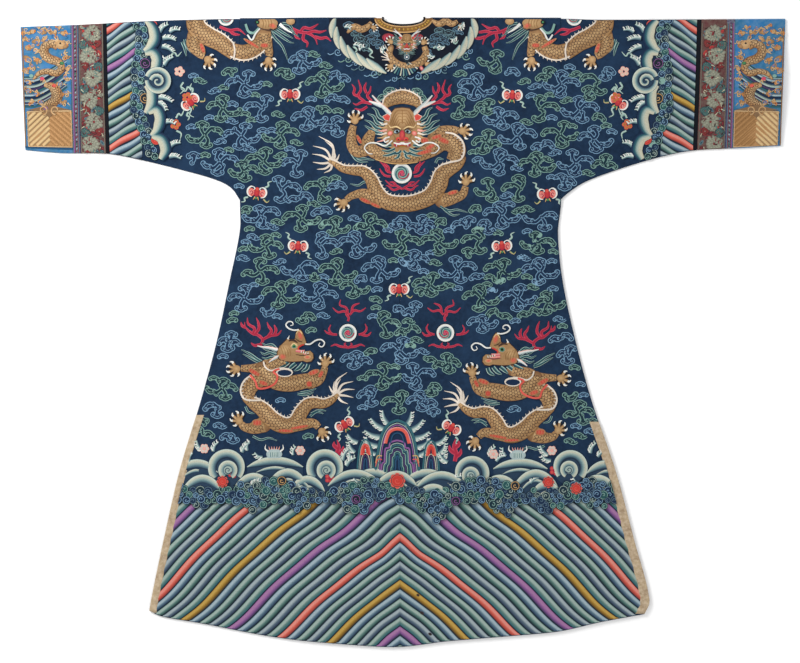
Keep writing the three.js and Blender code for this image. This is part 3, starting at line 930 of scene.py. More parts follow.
    def spikes(self, path, reach, spacing, shade, lift, base=3.4):
        """Small points along a path, leaning back, on the side that the reach's sign gives."""
        corners = np.array([-base / 2, base / 2, -base * 0.7])
        at = np.arange(spacing / 2, lengths_along(path)[-1], spacing)[:, None] + corners
        out = np.array([0, 0, reach])
        spot = beside(path, at, out)
        points = np.stack([*spot, np.full(at.shape, lift)], axis=-1).reshape(-1, 3)
        paint = np.tile(linear(shade), (len(points), 1))
        self.add(points, paint, points[:, :2] * MM, np.arange(len(points)).reshape(-1, 3))

    def lay(self, name, material, slot, cover=None):
        """Makes the mesh, each point at its lift over the cloth, and keeps it inside the piece's edges."""
        points = np.concatenate(self.points)
        if cover is not None:
            points[:, :2] = cover(points[:, 0], points[:, 1])
        surface = cloth_top(points[:, 0], points[:, 1])
        places = metres(points[:, 0], points[:, 1], surface + points[:, 2])
        piece = add_piece(name, places.tolist(), self.faces, material)
        mesh = piece.data
        paint = mesh.color_attributes.new("thread_colour", "FLOAT_COLOR", "POINT")
        colours = np.column_stack([np.concatenate(self.colours), np.ones(self.count)])
        paint.data.foreach_set("color", colours.astype(np.float32).ravel())
        chart = mesh.uv_layers.new(name="threads")
        corners = np.empty(len(mesh.loops), np.int32)
        mesh.loops.foreach_get("vertex_index", corners)
        chart.uv.foreach_set("vector", np.concatenate(self.threads)[corners].astype(np.float32).ravel())
        tidy_faces(mesh)
        return piece


def tidy_faces(mesh):
    """Drops faces that were pressed flat at an edge, and turns the rest face up."""
    work = bmesh.new()
    work.from_mesh(mesh)
    flat = [face for face in work.faces if face.calc_area() < 0.02 * MM * MM]
    bmesh.ops.delete(work, geom=flat, context="FACES")
    low = [face for face in work.faces if face.normal.z < 0]
    bmesh.ops.reverse_faces(work, faces=low)
    work.to_mesh(mesh)
    work.free()


def keep_on_body(across, drop):
    """Moves places that fall past the shoulder fold, the vent bands or the hem back to the edge."""
    drop = np.maximum(drop, shoulder_drop(across) + 1.5)
    drop = np.minimum(drop, hem_drop(across) - 1.5)
    left = np.where(drop < VENT_TOP["left"], 1.5, VENT_BAND_WIDTH["left"] - 3)
    right = np.where(drop < VENT_TOP["right"], 1.5, VENT_BAND_WIDTH["right"] - 3)
    low = np.where(drop < UNDERARM_DROP, -900, left - SIDE_REACH["left"](drop))
    high = np.where(drop < UNDERARM_DROP, 900, SIDE_REACH["right"](drop) - right)
    return np.stack([np.clip(across, low, high), drop], axis=1)


def keep_on_sleeve(across, drop):
    """Moves places that fall past a sleeve's fold or underside back to its edge."""
    under = np.where(across < 0, SLEEVE_UNDER["left"](np.abs(across)), SLEEVE_UNDER["right"](np.abs(across)))
    return np.stack([across, np.clip(drop, shoulder_drop(across) + 1.2, under - 1.2)], axis=1)


# Space for the clouds: a coarse map of what is already taken

CELL = 3
MAP_LEFT, MAP_TOP = -870, -10
taken = np.zeros((480, 580), bool)
# What the clouds keep clear of: a margin at the edges, the waves, the sleeve ends and the yoke
EDGE_MARGIN = 5
WAVES_TOP = 975
SLEEVE_END_REACH = 492
YOKE_CLEAR = (190, 144)


def map_window(across, drop, radius):
    """The part of the map round a place, and which of its cells lie within the radius."""
    top = max(int((drop - radius - MAP_TOP) / CELL), 0)
    left = max(int((across - radius - MAP_LEFT) / CELL), 0)
    rows = slice(top, int((drop + radius - MAP_TOP) / CELL) + 2)
    columns = slice(left, int((across + radius - MAP_LEFT) / CELL) + 2)
    window = taken[rows, columns]
    y = MAP_TOP + CELL * (top + np.arange(window.shape[0]))[:, None]
    x = MAP_LEFT + CELL * (left + np.arange(window.shape[1]))[None, :]
    return window, (x - across) ** 2 + (y - drop) ** 2 < radius**2


def take(across, drop, radius):
    window, near = map_window(across, drop, radius)
    window[near] = True


def is_free(across, drop, radius):
    window, near = map_window(across, drop, radius)
    return near.any() and not window[near].any()


def take_edges():
    """Marks everything outside the open navy ground as taken."""
    drop = MAP_TOP + CELL * np.arange(taken.shape[0])[:, None] + np.zeros(taken.shape)
    across = MAP_LEFT + CELL * np.arange(taken.shape[1])[None, :] + np.zeros(taken.shape)
    half_width, depth = YOKE_CLEAR
    taken[edge_distance(across, drop) < EDGE_MARGIN] = True
    taken[(drop < shoulder_drop(across) + EDGE_MARGIN) | (drop > WAVES_TOP)] = True
    taken[(np.abs(across) > SLEEVE_END_REACH) & (drop < UNDERARM_DROP)] = True
    taken[((across - NECK_CENTRE) / half_width) ** 2 + (drop / depth) ** 2 < 1] = True


def take_figures(figures, margin=2):
    """Marks the places of all stitches laid so far, and a margin of cells round them."""
    points = np.concatenate([np.concatenate(figure.points)[:, :2] for figure in figures])
    rows = np.clip(((points[:, 1] - MAP_TOP) / CELL).astype(int), 0, taken.shape[0] - 1)
    columns = np.clip(((points[:, 0] - MAP_LEFT) / CELL).astype(int), 0, taken.shape[1] - 1)
    spread = np.zeros(taken.shape, bool)
    spread[rows, columns] = True
    for _ in range(margin):
        spread[1:] |= spread[:-1].copy()
        spread[:-1] |= spread[1:].copy()
        spread[:, 1:] |= spread[:, :-1].copy()
        spread[:, :-1] |= spread[:, 1:].copy()
    taken[spread] = True


# Parts of dragons

# Shades across a scaly body: darker at both edges and paler along the middle, painted shade and highlight
# that make the body look round
GOLD_BODY = [
    (-1, "dragon dark"), (-0.9, "dragon"), (-0.5, "dragon"), (0.05, "dragon light"),
    (0.55, "dragon"), (0.9, "dragon"), (1, "dragon dark"),
]
TOE = [(-1, "dragon line"), (-0.5, "dragon"), (0.4, "dragon light"), (1, "dragon line")]
STRAND = [
    (-1, "foam"), (-0.66, "mint pale"), (-0.5, "teal"), (0.5, "stripe line"), (0.66, "mint pale"),
    (1, "foam"),
]
HORN = [(-1, "coral pale"), (-0.3, "white"), (1, "pearl grey")]
FLAME = [(-1, "flame pale"), (-0.4, "flame"), (0.4, "flame"), (1, "flame pale")]


def scaly(stitching, path, width, lift=0.9, ridge=0):
    """A scaly body or limb. The ridge is 1 or -1 for a pale spiny edge on one side, or 0 for none."""
    path = smooth_path(path, 4)
    start = widths_along(path, width)[0] / 2
    # The round start and the band are darker at their edges and paler in the middle: painted shade and
    # highlight
    stitching.fan(ellipse(*path[0], start, start), "dragon", "dragon dark", lift - 0.05)
    stitching.ribbon(path, width, GOLD_BODY, lift, 0.7, smooth=False)
    stitching.scales(path, width, lift + 0.12, 0.7)
    half = widths_along(path, width)[:, None] / 2 * side_normals(path)
    if ridge:
        edge = path + ridge * half
        stitching.spikes(edge, ridge * 6.0, 9.5, "ridge", lift + 0.32)
        stitching.line(edge, 3.0, "ridge", lift + 0.42)
        stitching.line(path - ridge * half * 0.97, 1.6, "gold brown", lift + 0.4)


def claw(stitching, x, y, heading, size=1.0, lift=1.2):
    """A paw with four toes and a spur, each with a pale hooked talon. The heading points out of the wrist."""
    for spread, reach in ((-112, 12), (-60, 16), (-22, 18), (18, 18), (58, 16)):
        a = math.radians(heading + spread)
        hook = math.radians(heading + spread + (75 if spread < 0 else -75))
        out = np.array([math.cos(a), math.sin(a)]) * size
        curl = np.array([math.cos(hook), math.sin(hook)]) * size
        tip = np.array([x, y]) + out * reach
        nail = [tip - 1.5 * out, tip + 2.5 * out, tip + 3.6 * out + 5 * curl]
        stitching.line([(x, y), tip + 3 * out], [11 * size, 10 * size], "black", lift - 0.2)
        stitching.ribbon([(x, y), tip], [7.6 * size, 6.4 * size], TOE, lift, step=5)
        stitching.line(nail, [5.2 * size, 4.2 * size, 0.9], "white", lift + 0.2, step=3)
    stitching.fan(ellipse(x, y, 9 * size, 8 * size, heading), "dragon light", "dragon", lift + 0.15, 0.4)


def flecks(stitching, x, y, wide, high, turn, lift=2.65):
    """A red glow on a limb that fades into its gold, with a few red stitches across it."""
    stitching.fan(ellipse(x, y, wide, high, turn), "coral", "dragon", lift, 0.2)
    t = math.radians(turn)
    along = np.array([math.cos(t), math.sin(t)])
    aside = np.array([-math.sin(t), math.cos(t)])
    count = max(int(wide / 3.6), 3)
    for k in range(count):
        share = -0.8 + 1.6 * (k + 0.5) / count
        reach = 0.72 * aside * high * math.sqrt(1 - share**2)
        middle = np.array([x, y]) + along * wide * share
        for lean in (-2, 2):
            shift = along * lean
            stitching.line([middle - reach - shift, middle + reach + shift], 0.9, "red", lift + 0.4, 6)


def flame(stitching, paths, width=5.4, lift=0.5):
    """Branching tongues of flame. Each path runs from the fire's root to a tip."""
    for path in paths:
        stitching.ribbon(path, [width, 1.15 * width, 0.95 * width, 1.6], FLAME, lift, 0.2, step=4)


def strands(stitching, paths, width=6.0, lift=0.6):
    """Locks of mane or beard, teal with a pale edge."""
    for path in paths:
        stitching.ribbon(path, [1.1 * width, 1.2 * width, width, 1.6], STRAND, lift, 0.3, step=4)


def fan_tail(stitching, root, tips, lift=1.3):
    """Long pale hairs that spread from the tail's end."""
    root = np.array(root, float)
    for tip, bend in tips:
        tip = np.array(tip, float)
        along = tip - root
        middle = root + along * 0.5 + 1.7 * bend * np.array([-along[1], along[0]])
        stitching.line([root, middle, tip], [5.6, 4.6, 0.8], "ridge", lift)


def pearl(stitching, x, y, radius):
    """A flaming pearl: a pale ring round a green, grey and red swirl."""
    rings = [(1.04, "black"), (0.98, "white"), (0.74, "pearl grey"), (0.66, "mint pale"), (0.3, "flame pale")]
    for step, (share, shade) in enumerate(rings):
        stitching.disc(x, y, radius * share, shade, 0.6 + 0.12 * step, count=24)
    for start, shade in ((0, "flame"), (120, "teal"), (240, "wave dark")):
        swirl = spiral(x, y, radius * 0.68, 0.85, start)
        stitching.line(swirl, [0.13 * radius, 0.05 * radius], shade, 1.35, 3)


def whisker(stitching, path, width=3.2, lift=2.6):
    stitching.line(path, [width, width, 0.9 * width, 0.5 * width], "white", lift, 3)


def reflected(paths):
    """The same paths on the other side of the middle line."""
    return [[(-x, y) for x, y in path] for path in paths]


FACE = [
    (2, -61), (16, -59), (26, -48), (31, -36), (41, -30), (37, -18), (46, -12), (40, -3),
    (46, 7), (36, 13), (34, 24), (23, 30), (16, 40), (3, 46),
]
EAR = [(26, -43), (33, -48), (44, -42), (39, -34), (29, -31)]


def mirrored(half):
    """An outline from its right half, listed from the top down."""
    half = np.array(half, float)
    return np.vstack([half, half[::-1] * [-1, 1]])


def front_head(stitching):
    """A dragon's face seen from the front, with the nose at the origin."""
    horns = [[(26, -46), (38, -59), (52, -72), (67, -89)], [(46, -66), (58, -70), (74, -76)]]
    manes = [
        [(40, -24), (56, -28), (64, -42), (78, -48)], [(42, -12), (58, -16), (70, -28), (84, -34)],
        [(42, -2), (58, -6), (72, -14), (84, -22)], [(40, -34), (52, -42), (58, -56), (68, -62)],
    ]
    beards = [
        [(16, 30), (30, 36), (46, 34)], [(14, 38), (28, 44), (44, 46)], [(24, 22), (38, 24), (50, 18)],
        [(6, 42), (10, 50), (18, 52)], [(3, 34), (8, 40), (22, 42)],
    ]
    for side in (lambda paths: paths, reflected):
        strands(stitching, side(manes), 6.5, 1.6)
        for horn in side(horns):
            stitching.ribbon(horn, [11, 8, 3], HORN, 1.9, 0.5)
    face = mirrored(FACE)
    stitching.fill(face * [1.05, 1.04], "dragon line", 2.0)
    stitching.fill(face, "dragon", 2.12)
    stitching.fan(ellipse(0, -37, 20, 19), "dragon light", "dragon", 2.25, 0.7)
    stitching.line([(0, -56), (0, -28)], [1, 2.4], "gold brown", 3.0)
    for wrinkle in range(5):
        out = 7 + 4 * wrinkle
        brow = [(-out - 5, -17 - 1.5 * wrinkle), (-0.6 * out, -29 - 6 * wrinkle), (0, -25 - 7.5 * wrinkle)]
        for flip in (-1, 1):
            stitching.line([(flip * px, py) for px, py in brow], [1.6, 1.3, 0.9], "gold brown", 3.0)
    for flip in (-1, 1):
        ear = [(flip * px, py) for px, py in EAR]
        stitching.fan(ear, "red", "coral", 2.5, 0.4)
        stitching.loop(ear, 1.2, "ridge", 2.9)
        for lock in range(6):
            start = (flip * (33 + 0.5 * lock), -26 + 7 * lock)
            middle = (flip * (44 + lock), -24 + 7.5 * lock)
            end = (flip * (52 + lock), -30 + 9 * lock)
            shade = ("ridge", "dragon light", "coral pale")[lock % 3]
            stitching.line([start, middle, end], [4.6, 3.4, 0.8], shade, 2.4, 4)
        stitching.fan(ellipse(flip * 27, -4, 6, 5, flip * 30), "coral pale", "coral", 2.5, 0.3)
        stitching.line([(flip * 28, 4), (flip * 40, 8), (flip * 38, 16), (flip * 30, 12)], 3, "white", 2.6)
        stitching.disc(flip * 12.5, -8, 7.6, "dragon line", 2.9, 5.4, flip * 14)
        stitching.disc(flip * 12.5, -8, 6.2, "pearl grey", 3.02, 3.8, flip * 14)
        stitching.disc(flip * 11.5, -8, 3.2, "black", 3.26)
        brow = [(flip * 3, -13), (flip * 13, -19), (flip * 26, -17), (flip * 30, -24)]
        stitching.line(brow, [2, 3.4, 2.4, 1], "gold light", 3.1)
        lid = [(flip * 3, -11), (flip * 13, -15), (flip * 23, -12)]
        stitching.line(lid, [1.6, 2.2, 1], "dragon line", 3.2)
        stitching.line([(flip * 21, -2), (flip * 16, 8), (flip * 22, 16)], [1.6, 1.6, 1], "gold brown", 3.0)
    stitching.fan(ellipse(0, 1, 6, 12), "coral", "flame", 3.0, 0.8)
    for flip in (-1, 1):
        stitching.fan(ellipse(flip * 8, 9, 6, 4.6), "coral", "red", 3.1, 0.5)
        stitching.disc(flip * 8.5, 10, 1.8, "dragon line", 3.7)
    stitching.fill(mirrored([(1, 16), (13, 15), (20, 22), (13, 27), (1, 26)]), "flame", 3.1)
    stitching.line([(-19, 17), (-8, 20), (0, 18), (8, 20), (19, 17)], [2, 4.4, 5.4, 4.4, 2], "white", 3.4)
    stitching.line([(-11, 24), (0, 25), (11, 24)], [2, 3, 2], "stripe gold", 3.4)
    for flip in (-1, 1):
        stitching.line([(flip * 12, 20), (flip * 13, 26)], [2.4, 0.6], "white", 3.6, 3)
    for side in (lambda paths: paths, reflected):
        strands(stitching, side(beards), 5.5, 2.5)


def side_head(stitching):
    """A dragon's head thrown back and seen from the side, facing right with its mouth open."""
    strands(stitching, [
        [(-15, -44), (-30, -54), (-38, -50), (-52, -58)], [(-16, -38), (-32, -44), (-44, -40), (-54, -46)],
        [(-14, -50), (-28, -62), (-40, -60), (-50, -66)], [(-12, -32), (-28, -34), (-40, -30), (-50, -34)],
        [(-50, -24), (-62, -31), (-76, -41), (-96, -51)], [(-48, -20), (-62, -25), (-80, -35), (-92, -41)],
    ], 5.0, 1.4)
    horn = [(-1, "coral pale"), (-0.2, "white"), (1, "pearl grey")]
    stitching.ribbon([(-14, -50), (-34, -55), (-46, -56), (-60, -59)], [8, 6, 2], horn, 1.8, 0.4)
    stitching.ribbon([(-10, -38), (-24, -30), (-34, -22)], [8, 6, 2], horn, 1.8, 0.4)
    beard = [
        [(-4, -24), (-16, -18), (-30, -12)], [(10, -23), (-2, -14), (-14, -7)],
        [(26, -20), (16, -12), (8, -5)], [(42, -20), (34, -10), (22, -3)],
        [(54, -18), (50, -8), (38, -1)],
    ]
    strands(stitching, beard, 7.5, 1.5)
    head = [
        (-14, -49), (-10, -57), (0, -67), (9, -76), (15, -72), (24, -74), (26, -86), (30, -95), (36, -95),
        (41, -88), (46, -76), (49, -66), (44, -61), (36, -59), (31, -52), (38, -46), (48, -47), (58, -48),
        (64, -42), (65, -32), (60, -25), (50, -23), (42, -26), (34, -25), (20, -24), (4, -25), (-10, -30),
        (-15, -39),
    ]
    middle = np.mean(head, axis=0)
    stitching.fill((np.array(head) - middle) * 1.05 + middle, "dragon line", 1.95)
    stitching.fill(head, "dragon", 2.1)
    stitching.fan(ellipse(2, -50, 14, 13, -40), "dragon light", "dragon", 2.2, 0.8)
    stitching.fan(ellipse(36, -82, 7, 13, -15), "coral", "dragon", 2.3, 0.8)
    stitching.fan(ellipse(-3, -35, 9, 8), "coral", "dragon", 2.3, 0.5)
    lip = [(26, -42), (38, -40), (50, -38), (56, -32)]
    stitching.ribbon(lip, [6, 7, 6, 2], [(-1, "coral"), (1, "coral pale")], 2.35, 0.3)
    tongue = [(26, -48), (36, -47), (46, -49)]
    stitching.ribbon(tongue, [4, 6, 2], [(-1, "flame pale"), (1, "coral pale")], 2.5, 0.3)
    stitching.line([(44, -62), (38, -60), (31, -54), (34, -50)], [3, 3.6, 2.4], "red", 2.5)
    for tooth in range(4):
        root = (38 + 5 * tooth, -44 + tooth)
        stitching.line([root, (39 + 5 * tooth, -49 + tooth)], [2.4, 0.6], "white", 2.7)
    eye = [
        (7.8, 6.8, "gold light"), (7, 6, "dragon line"), (6, 5.2, "pearl grey"), (5, 4.6, "eye green"),
        (2.8, 2.8, "black"),
    ]
    for step, (wide, high, shade) in enumerate(eye):
        stitching.disc(22, -59, wide, shade, 2.5 + 0.1 * step, high)
    stitching.line([(25, -76), (32, -70), (40, -68)], [1, 2, 1], "dragon line", 3.2)
    stitching.line([(27, -85), (31, -92), (36, -92), (40, -86)], [1.4, 2.4, 1.4], "gold light", 3.2)
    stitching.line([(26, -40), (40, -38), (56, -40)], [1, 2, 1], "dragon line", 3.3)
    stitching.line([(10, -70), (20, -72), (30, -66)], [2, 5, 2], "dragon line", 2.7)
    stitching.line([(8, -74), (12, -82)], [4, 0.8], "white", 2.7)
    stitching.fan(ellipse(52, -34, 8, 5, 0), "coral", "dragon light", 2.6, 0.4)
    for wrinkle in range(4):
        crease = [(-9 + 6 * wrinkle, -60 + 2 * wrinkle), (-4 + 6 * wrinkle, -47), (-1 + 5 * wrinkle, -36)]
        stitching.line(crease, [0.8, 1.3, 0.8], "gold brown", 3.0)
    whiskers = [
        [(33, -95), (22, -94), (10, -98), (4, -106), (10, -113), (18, -112), (20, -106), (14, -104)],
        [(47, -63), (58, -63), (70, -71), (82, -73), (90, -66), (85, -57), (77, -60), (80, -66)],
    ]
    for path in whiskers:
        whisker(stitching, path)


def main_dragon():
    """The large dragon on the upper back, coiled round a flaming pearl."""
    s = Stitching()
    s.place(5, 260)
    for path in ([(-118, 22), (-104, 48), (-84, 52), (-62, 56)], [(-116, 36), (-100, 56), (-76, 60)]):
        strands(s, [path], 5)
    strands(s, [
        [(-66, 108), (-84, 104), (-98, 112), (-116, 108)], [(84, 158), (104, 168), (122, 166), (146, 172)],
        [(92, 164), (112, 178), (128, 176)], [(74, 62), (80, 52), (92, 54)],
        [(-60, 130), (-80, 122), (-94, 124)],
    ], 4.4)
    scaly(s, [(-62, 140), (-88, 130), (-112, 135), (-124, 144)], [30, 24, 17, 14], 0.7)
    claw(s, -130, 150, 150)
    scaly(s, [(88, 146), (112, 140), (134, 132), (141, 114)], [32, 28, 20, 14], 0.7)
    claw(s, 142, 104, -70)
    lower = [
        (134, 52), (122, 66), (104, 76), (88, 88), (80, 112), (62, 136), (28, 150), (-6, 153), (-38, 146),
        (-58, 124), (-69, 98), (-86, 81), (-110, 78), (-132, 74), (-150, 63), (-163, 56),
    ]
    scaly(s, lower, [16, 26, 34, 38, 38, 36, 35, 35, 34, 33, 31, 27, 23, 19, 14, 7], 1.0, ridge=-1)
    fan_tail(s, (-156, 60), [
        ((-186, 2), 0.16), ((-172, 12), 0.14), ((-198, 24), 0.12), ((-200, 42), 0.06), ((-199, 60), -0.04),
        ((-190, 76), -0.1), ((-174, 84), -0.14), ((-152, 34), 0.1), ((-140, 42), 0.1),
    ])
    scaly(s, [(70, 6), (88, -8), (112, -12), (126, -10)], [28, 26, 20, 14], 1.0)
    claw(s, 134, -9, 8)
    scaly(s, [(-82, 34), (-102, 36), (-113, 18), (-112, -8), (-108, -22)], [26, 26, 24, 19, 15], 1.0)
    claw(s, -105, -33, -82)
    upper = [
        (-66, -10), (-76, 14), (-66, 34), (-36, 46), (-2, 50), (32, 46), (62, 32), (86, 14), (110, 16),
        (122, 36), (112, 58),
    ]
    scaly(s, upper, [16, 30, 30, 26, 24, 26, 32, 42, 44, 42, 30], 1.6, ridge=0)
    s.line([(96, -6), (116, -2), (134, 14), (138, 36), (130, 54), (108, 60), (86, 66)], 3.8, "ridge", 2.8)
    s.spikes(smooth_path([(116, -2), (134, 14), (138, 36), (130, 54)]), -6, 8, "ridge", 2.7)
    s.line([(-60, 54), (-30, 62), (0, 64), (34, 60)], 2.2, "gold", 2.6)
    for x, y, wide, high, turn in (
        (-96, 10, 12, 4, 62), (50, 12, 10, 7, 0), (92, 12, 15, 7, 24), (50, 38, 20, 5, -14),
        (112, 128, 13, 5, -16), (-82, 146, 15, 5, 24), (-60, 156, 14, 4, 24), (76, 4, 14, 5, -20),
        (62, 26, 14, 6, -28),
    ):
        flecks(s, x, y, wide, high, turn)
    crescent = [(-41, -62), (-30, -76), (-16, -83), (0, -86), (16, -83), (30, -76), (39, -63)]
    for cloud in ((-46, -84, -30), (-30, -100, -20), (34, -98, 20), (44, -84, 30)):
        cloud_head(s, cloud[0], cloud[1], 12, cloud[2], CLOUD_SHADES["mint"])
    scaly(s, crescent, [10, 24, 29, 31, 29, 24, 10], 1.2, ridge=1)
    front_head(s)
    whisker(s, [(-22, 12), (-38, 24), (-56, 18), (-74, 18), (-84, 28), (-76, 40), (-66, 42)], lift=3.6)
    whisker(s, [(22, 12), (38, 23), (54, 17), (70, 18), (82, 28), (74, 39), (64, 40)], lift=3.6)
    main_flames(s)
    pearl(s, -1, 85, 23)
    main_pearl_flames(s)
    return s


def main_flames(s):
    """Flames on both sides of the large dragon's crest."""
    for flip, x in ((-1, -68), (1, 66)):
        flame(s, [
            [(x, -76), (x + flip * 10, -88), (x + flip * 4, -98), (x + flip * 2, -110)],
            [(x, -70), (x + flip * 20, -74), (x + flip * 34, -68), (x + flip * 42, -72)],
            [(x + flip * 14, -74), (x + flip * 30, -88), (x + flip * 24, -102), (x + flip * 30, -124)],
            [(x + flip * 26, -86), (x + flip * 40, -92), (x + flip * 38, -104), (x + flip * 44, -114)],
            [(x + flip * 10, -64), (x + flip * 24, -56), (x + flip * 38, -60)],
            [(x + flip * 12, -94), (x + flip * 16, -106), (x + flip * 12, -118)],
        ], 5.4)


def main_pearl_flames(s):
    """Flames round the pearl that the large dragon holds."""
    for flip in (-1, 1):
        flame(s, [
            [(flip * 24, 84), (flip * 34, 80), (flip * 38, 70), (flip * 50, 58)],
            [(flip * 30, 82), (flip * 30, 72), (flip * 40, 62), (flip * 34, 54)],
            [(flip * 26, 92), (flip * 38, 90), (flip * 46, 82), (flip * 50, 74)],
            [(0, 120), (flip * 14, 112), (flip * 24, 112), (flip * 38, 100)],
            [(flip * 6, 118), (flip * 20, 122), (flip * 30, 114), (flip * 36, 112)],
            [(flip * 14, 112), (flip * 18, 106), (flip * 28, 104)],
        ], 4.4)


SIDE_DRAGON_PLACES = {
    "left": {"head": (-258, 788), "body": (-258, 788)},
    "right": {"head": (249, 796), "body": (252, 809)},
}


def side_dragon(side):
    """A dragon above the waves on one side, its head thrown back towards a pearl."""
    s = Stitching()
    places = SIDE_DRAGON_PLACES[side]
    s.place(*places["body"], mirror=side == "right")
    strands(s, [
        [(-70, 142), (-52, 150), (-34, 146), (-16, 152)], [(36, 45), (54, 42), (72, 36)],
        [(58, 98), (72, 88), (88, 92)], [(60, 92), (78, 84), (94, 86)], [(30, 48), (50, 50), (66, 44)],
        [(-86, 76), (-80, 88), (-66, 92)],
    ], 4.2)
    s.place(*places["head"], mirror=side == "right")
    flame(s, [
        [(-54, -58), (-48, -73), (-60, -84), (-70, -86), (-86, -100), (-88, -112)],
        [(-70, -86), (-66, -98), (-80, -108), (-82, -122)],
        [(-64, -86), (-56, -98), (-58, -112), (-62, -122)],
        [(-48, -73), (-30, -82), (-14, -84), (-6, -94)],
        [(-36, -80), (-28, -92), (-34, -102), (-38, -112)], [(-22, -84), (-18, -94), (-22, -106)],
        [(-52, -62), (-66, -60), (-74, -66)], [(-86, -100), (-94, -104), (-96, -112)],
    ], 5.8)
    s.place(*places["body"], mirror=side == "right")
    scaly(s, [(-46, 116), (-70, 124), (-88, 122), (-96, 114)], [36, 30, 20, 15], 0.7)
    claw(s, -100, 108, -118)
    scaly(s, [(20, 122), (46, 115), (66, 113), (77, 122)], [22, 25, 21, 15], 1.3)
    claw(s, 84, 132, 66)
    lower = [
        (-88, 58), (-66, 70), (-46, 84), (-28, 104), (0, 118), (24, 112), (38, 88), (52, 71), (68, 67),
        (88, 69), (106, 61), (120, 48),
    ]
    scaly(s, lower, [12, 28, 33, 38, 37, 35, 33, 30, 26, 22, 17, 8], 1.0, ridge=1)
    fan_tail(s, (117, 50), [
        ((140, 0), -0.14), ((154, 20), -0.12), ((157, 38), -0.08), ((154, 56), -0.02), ((142, 70), 0.08),
        ((126, 14), -0.08), ((112, 20), -0.08), ((100, 30), -0.06),
    ])
    scaly(s, [(-34, -12), (-60, -9), (-86, -9), (-96, -9)], [32, 25, 18, 14], 1.2)
    claw(s, -106, -8, 180)
    scaly(s, [(58, 22), (78, 14), (88, -2), (91, -12)], [30, 27, 18, 14], 1.2)
    claw(s, 92, -20, -72)
    scaly(s, [(2, -26), (-18, -20), (-38, -14), (-46, 0)], [26, 28, 30, 34], 1.3)
    scaly(s, [(-32, 4), (-60, 18), (-76, 34), (-82, 54)], [42, 38, 34, 30], 1.5)
    s.spikes(smooth_path([(-66, 2), (-88, 16), (-96, 38), (-92, 56), (-76, 66)]), 7, 9, "ridge", 2.6)
    s.line([(-74, 6), (-90, 20), (-97, 40), (-90, 58), (-74, 62), (-52, 62)], 3.8, "ridge", 2.8)
    scaly(s, [(-50, -8), (-22, 18), (10, 25), (42, 20), (66, 15)], [32, 37, 36, 35, 30], 1.9)
    s.disc(1, 0, 19, "ridge", 3.0, 10.5)
    s.disc(1, 1, 16, "sky dark", 3.1, 7)
    s.line([(-46, -24), (-42, -12), (-30, -4), (-16, -8), (0, -10)], 3.4, "ridge", 3.0)
    collar = [(-76, 6), (-64, 20), (-58, 35), (-38, 34), (-20, 24), (-15, 8), (-24, -2), (-10, -8)]
    s.line(collar, 4.4, "coral", 3.1)
    for x, y, wide, high, turn in (
        (-66, 0, 16, 6, 30), (-46, 24, 12, 6, 20), (66, 0, 14, 6, -20), (-60, 112, 12, 8, 0),
        (34, 122, 24, 4, -10), (4, 130, 20, 4, 2), (56, 26, 7, 8, 0), (82, 4, 10, 5, -62),
    ):
        flecks(s, x, y, wide, high, turn, 3.0)
    s.place(*places["head"], mirror=side == "right")
    side_head(s)
    return s


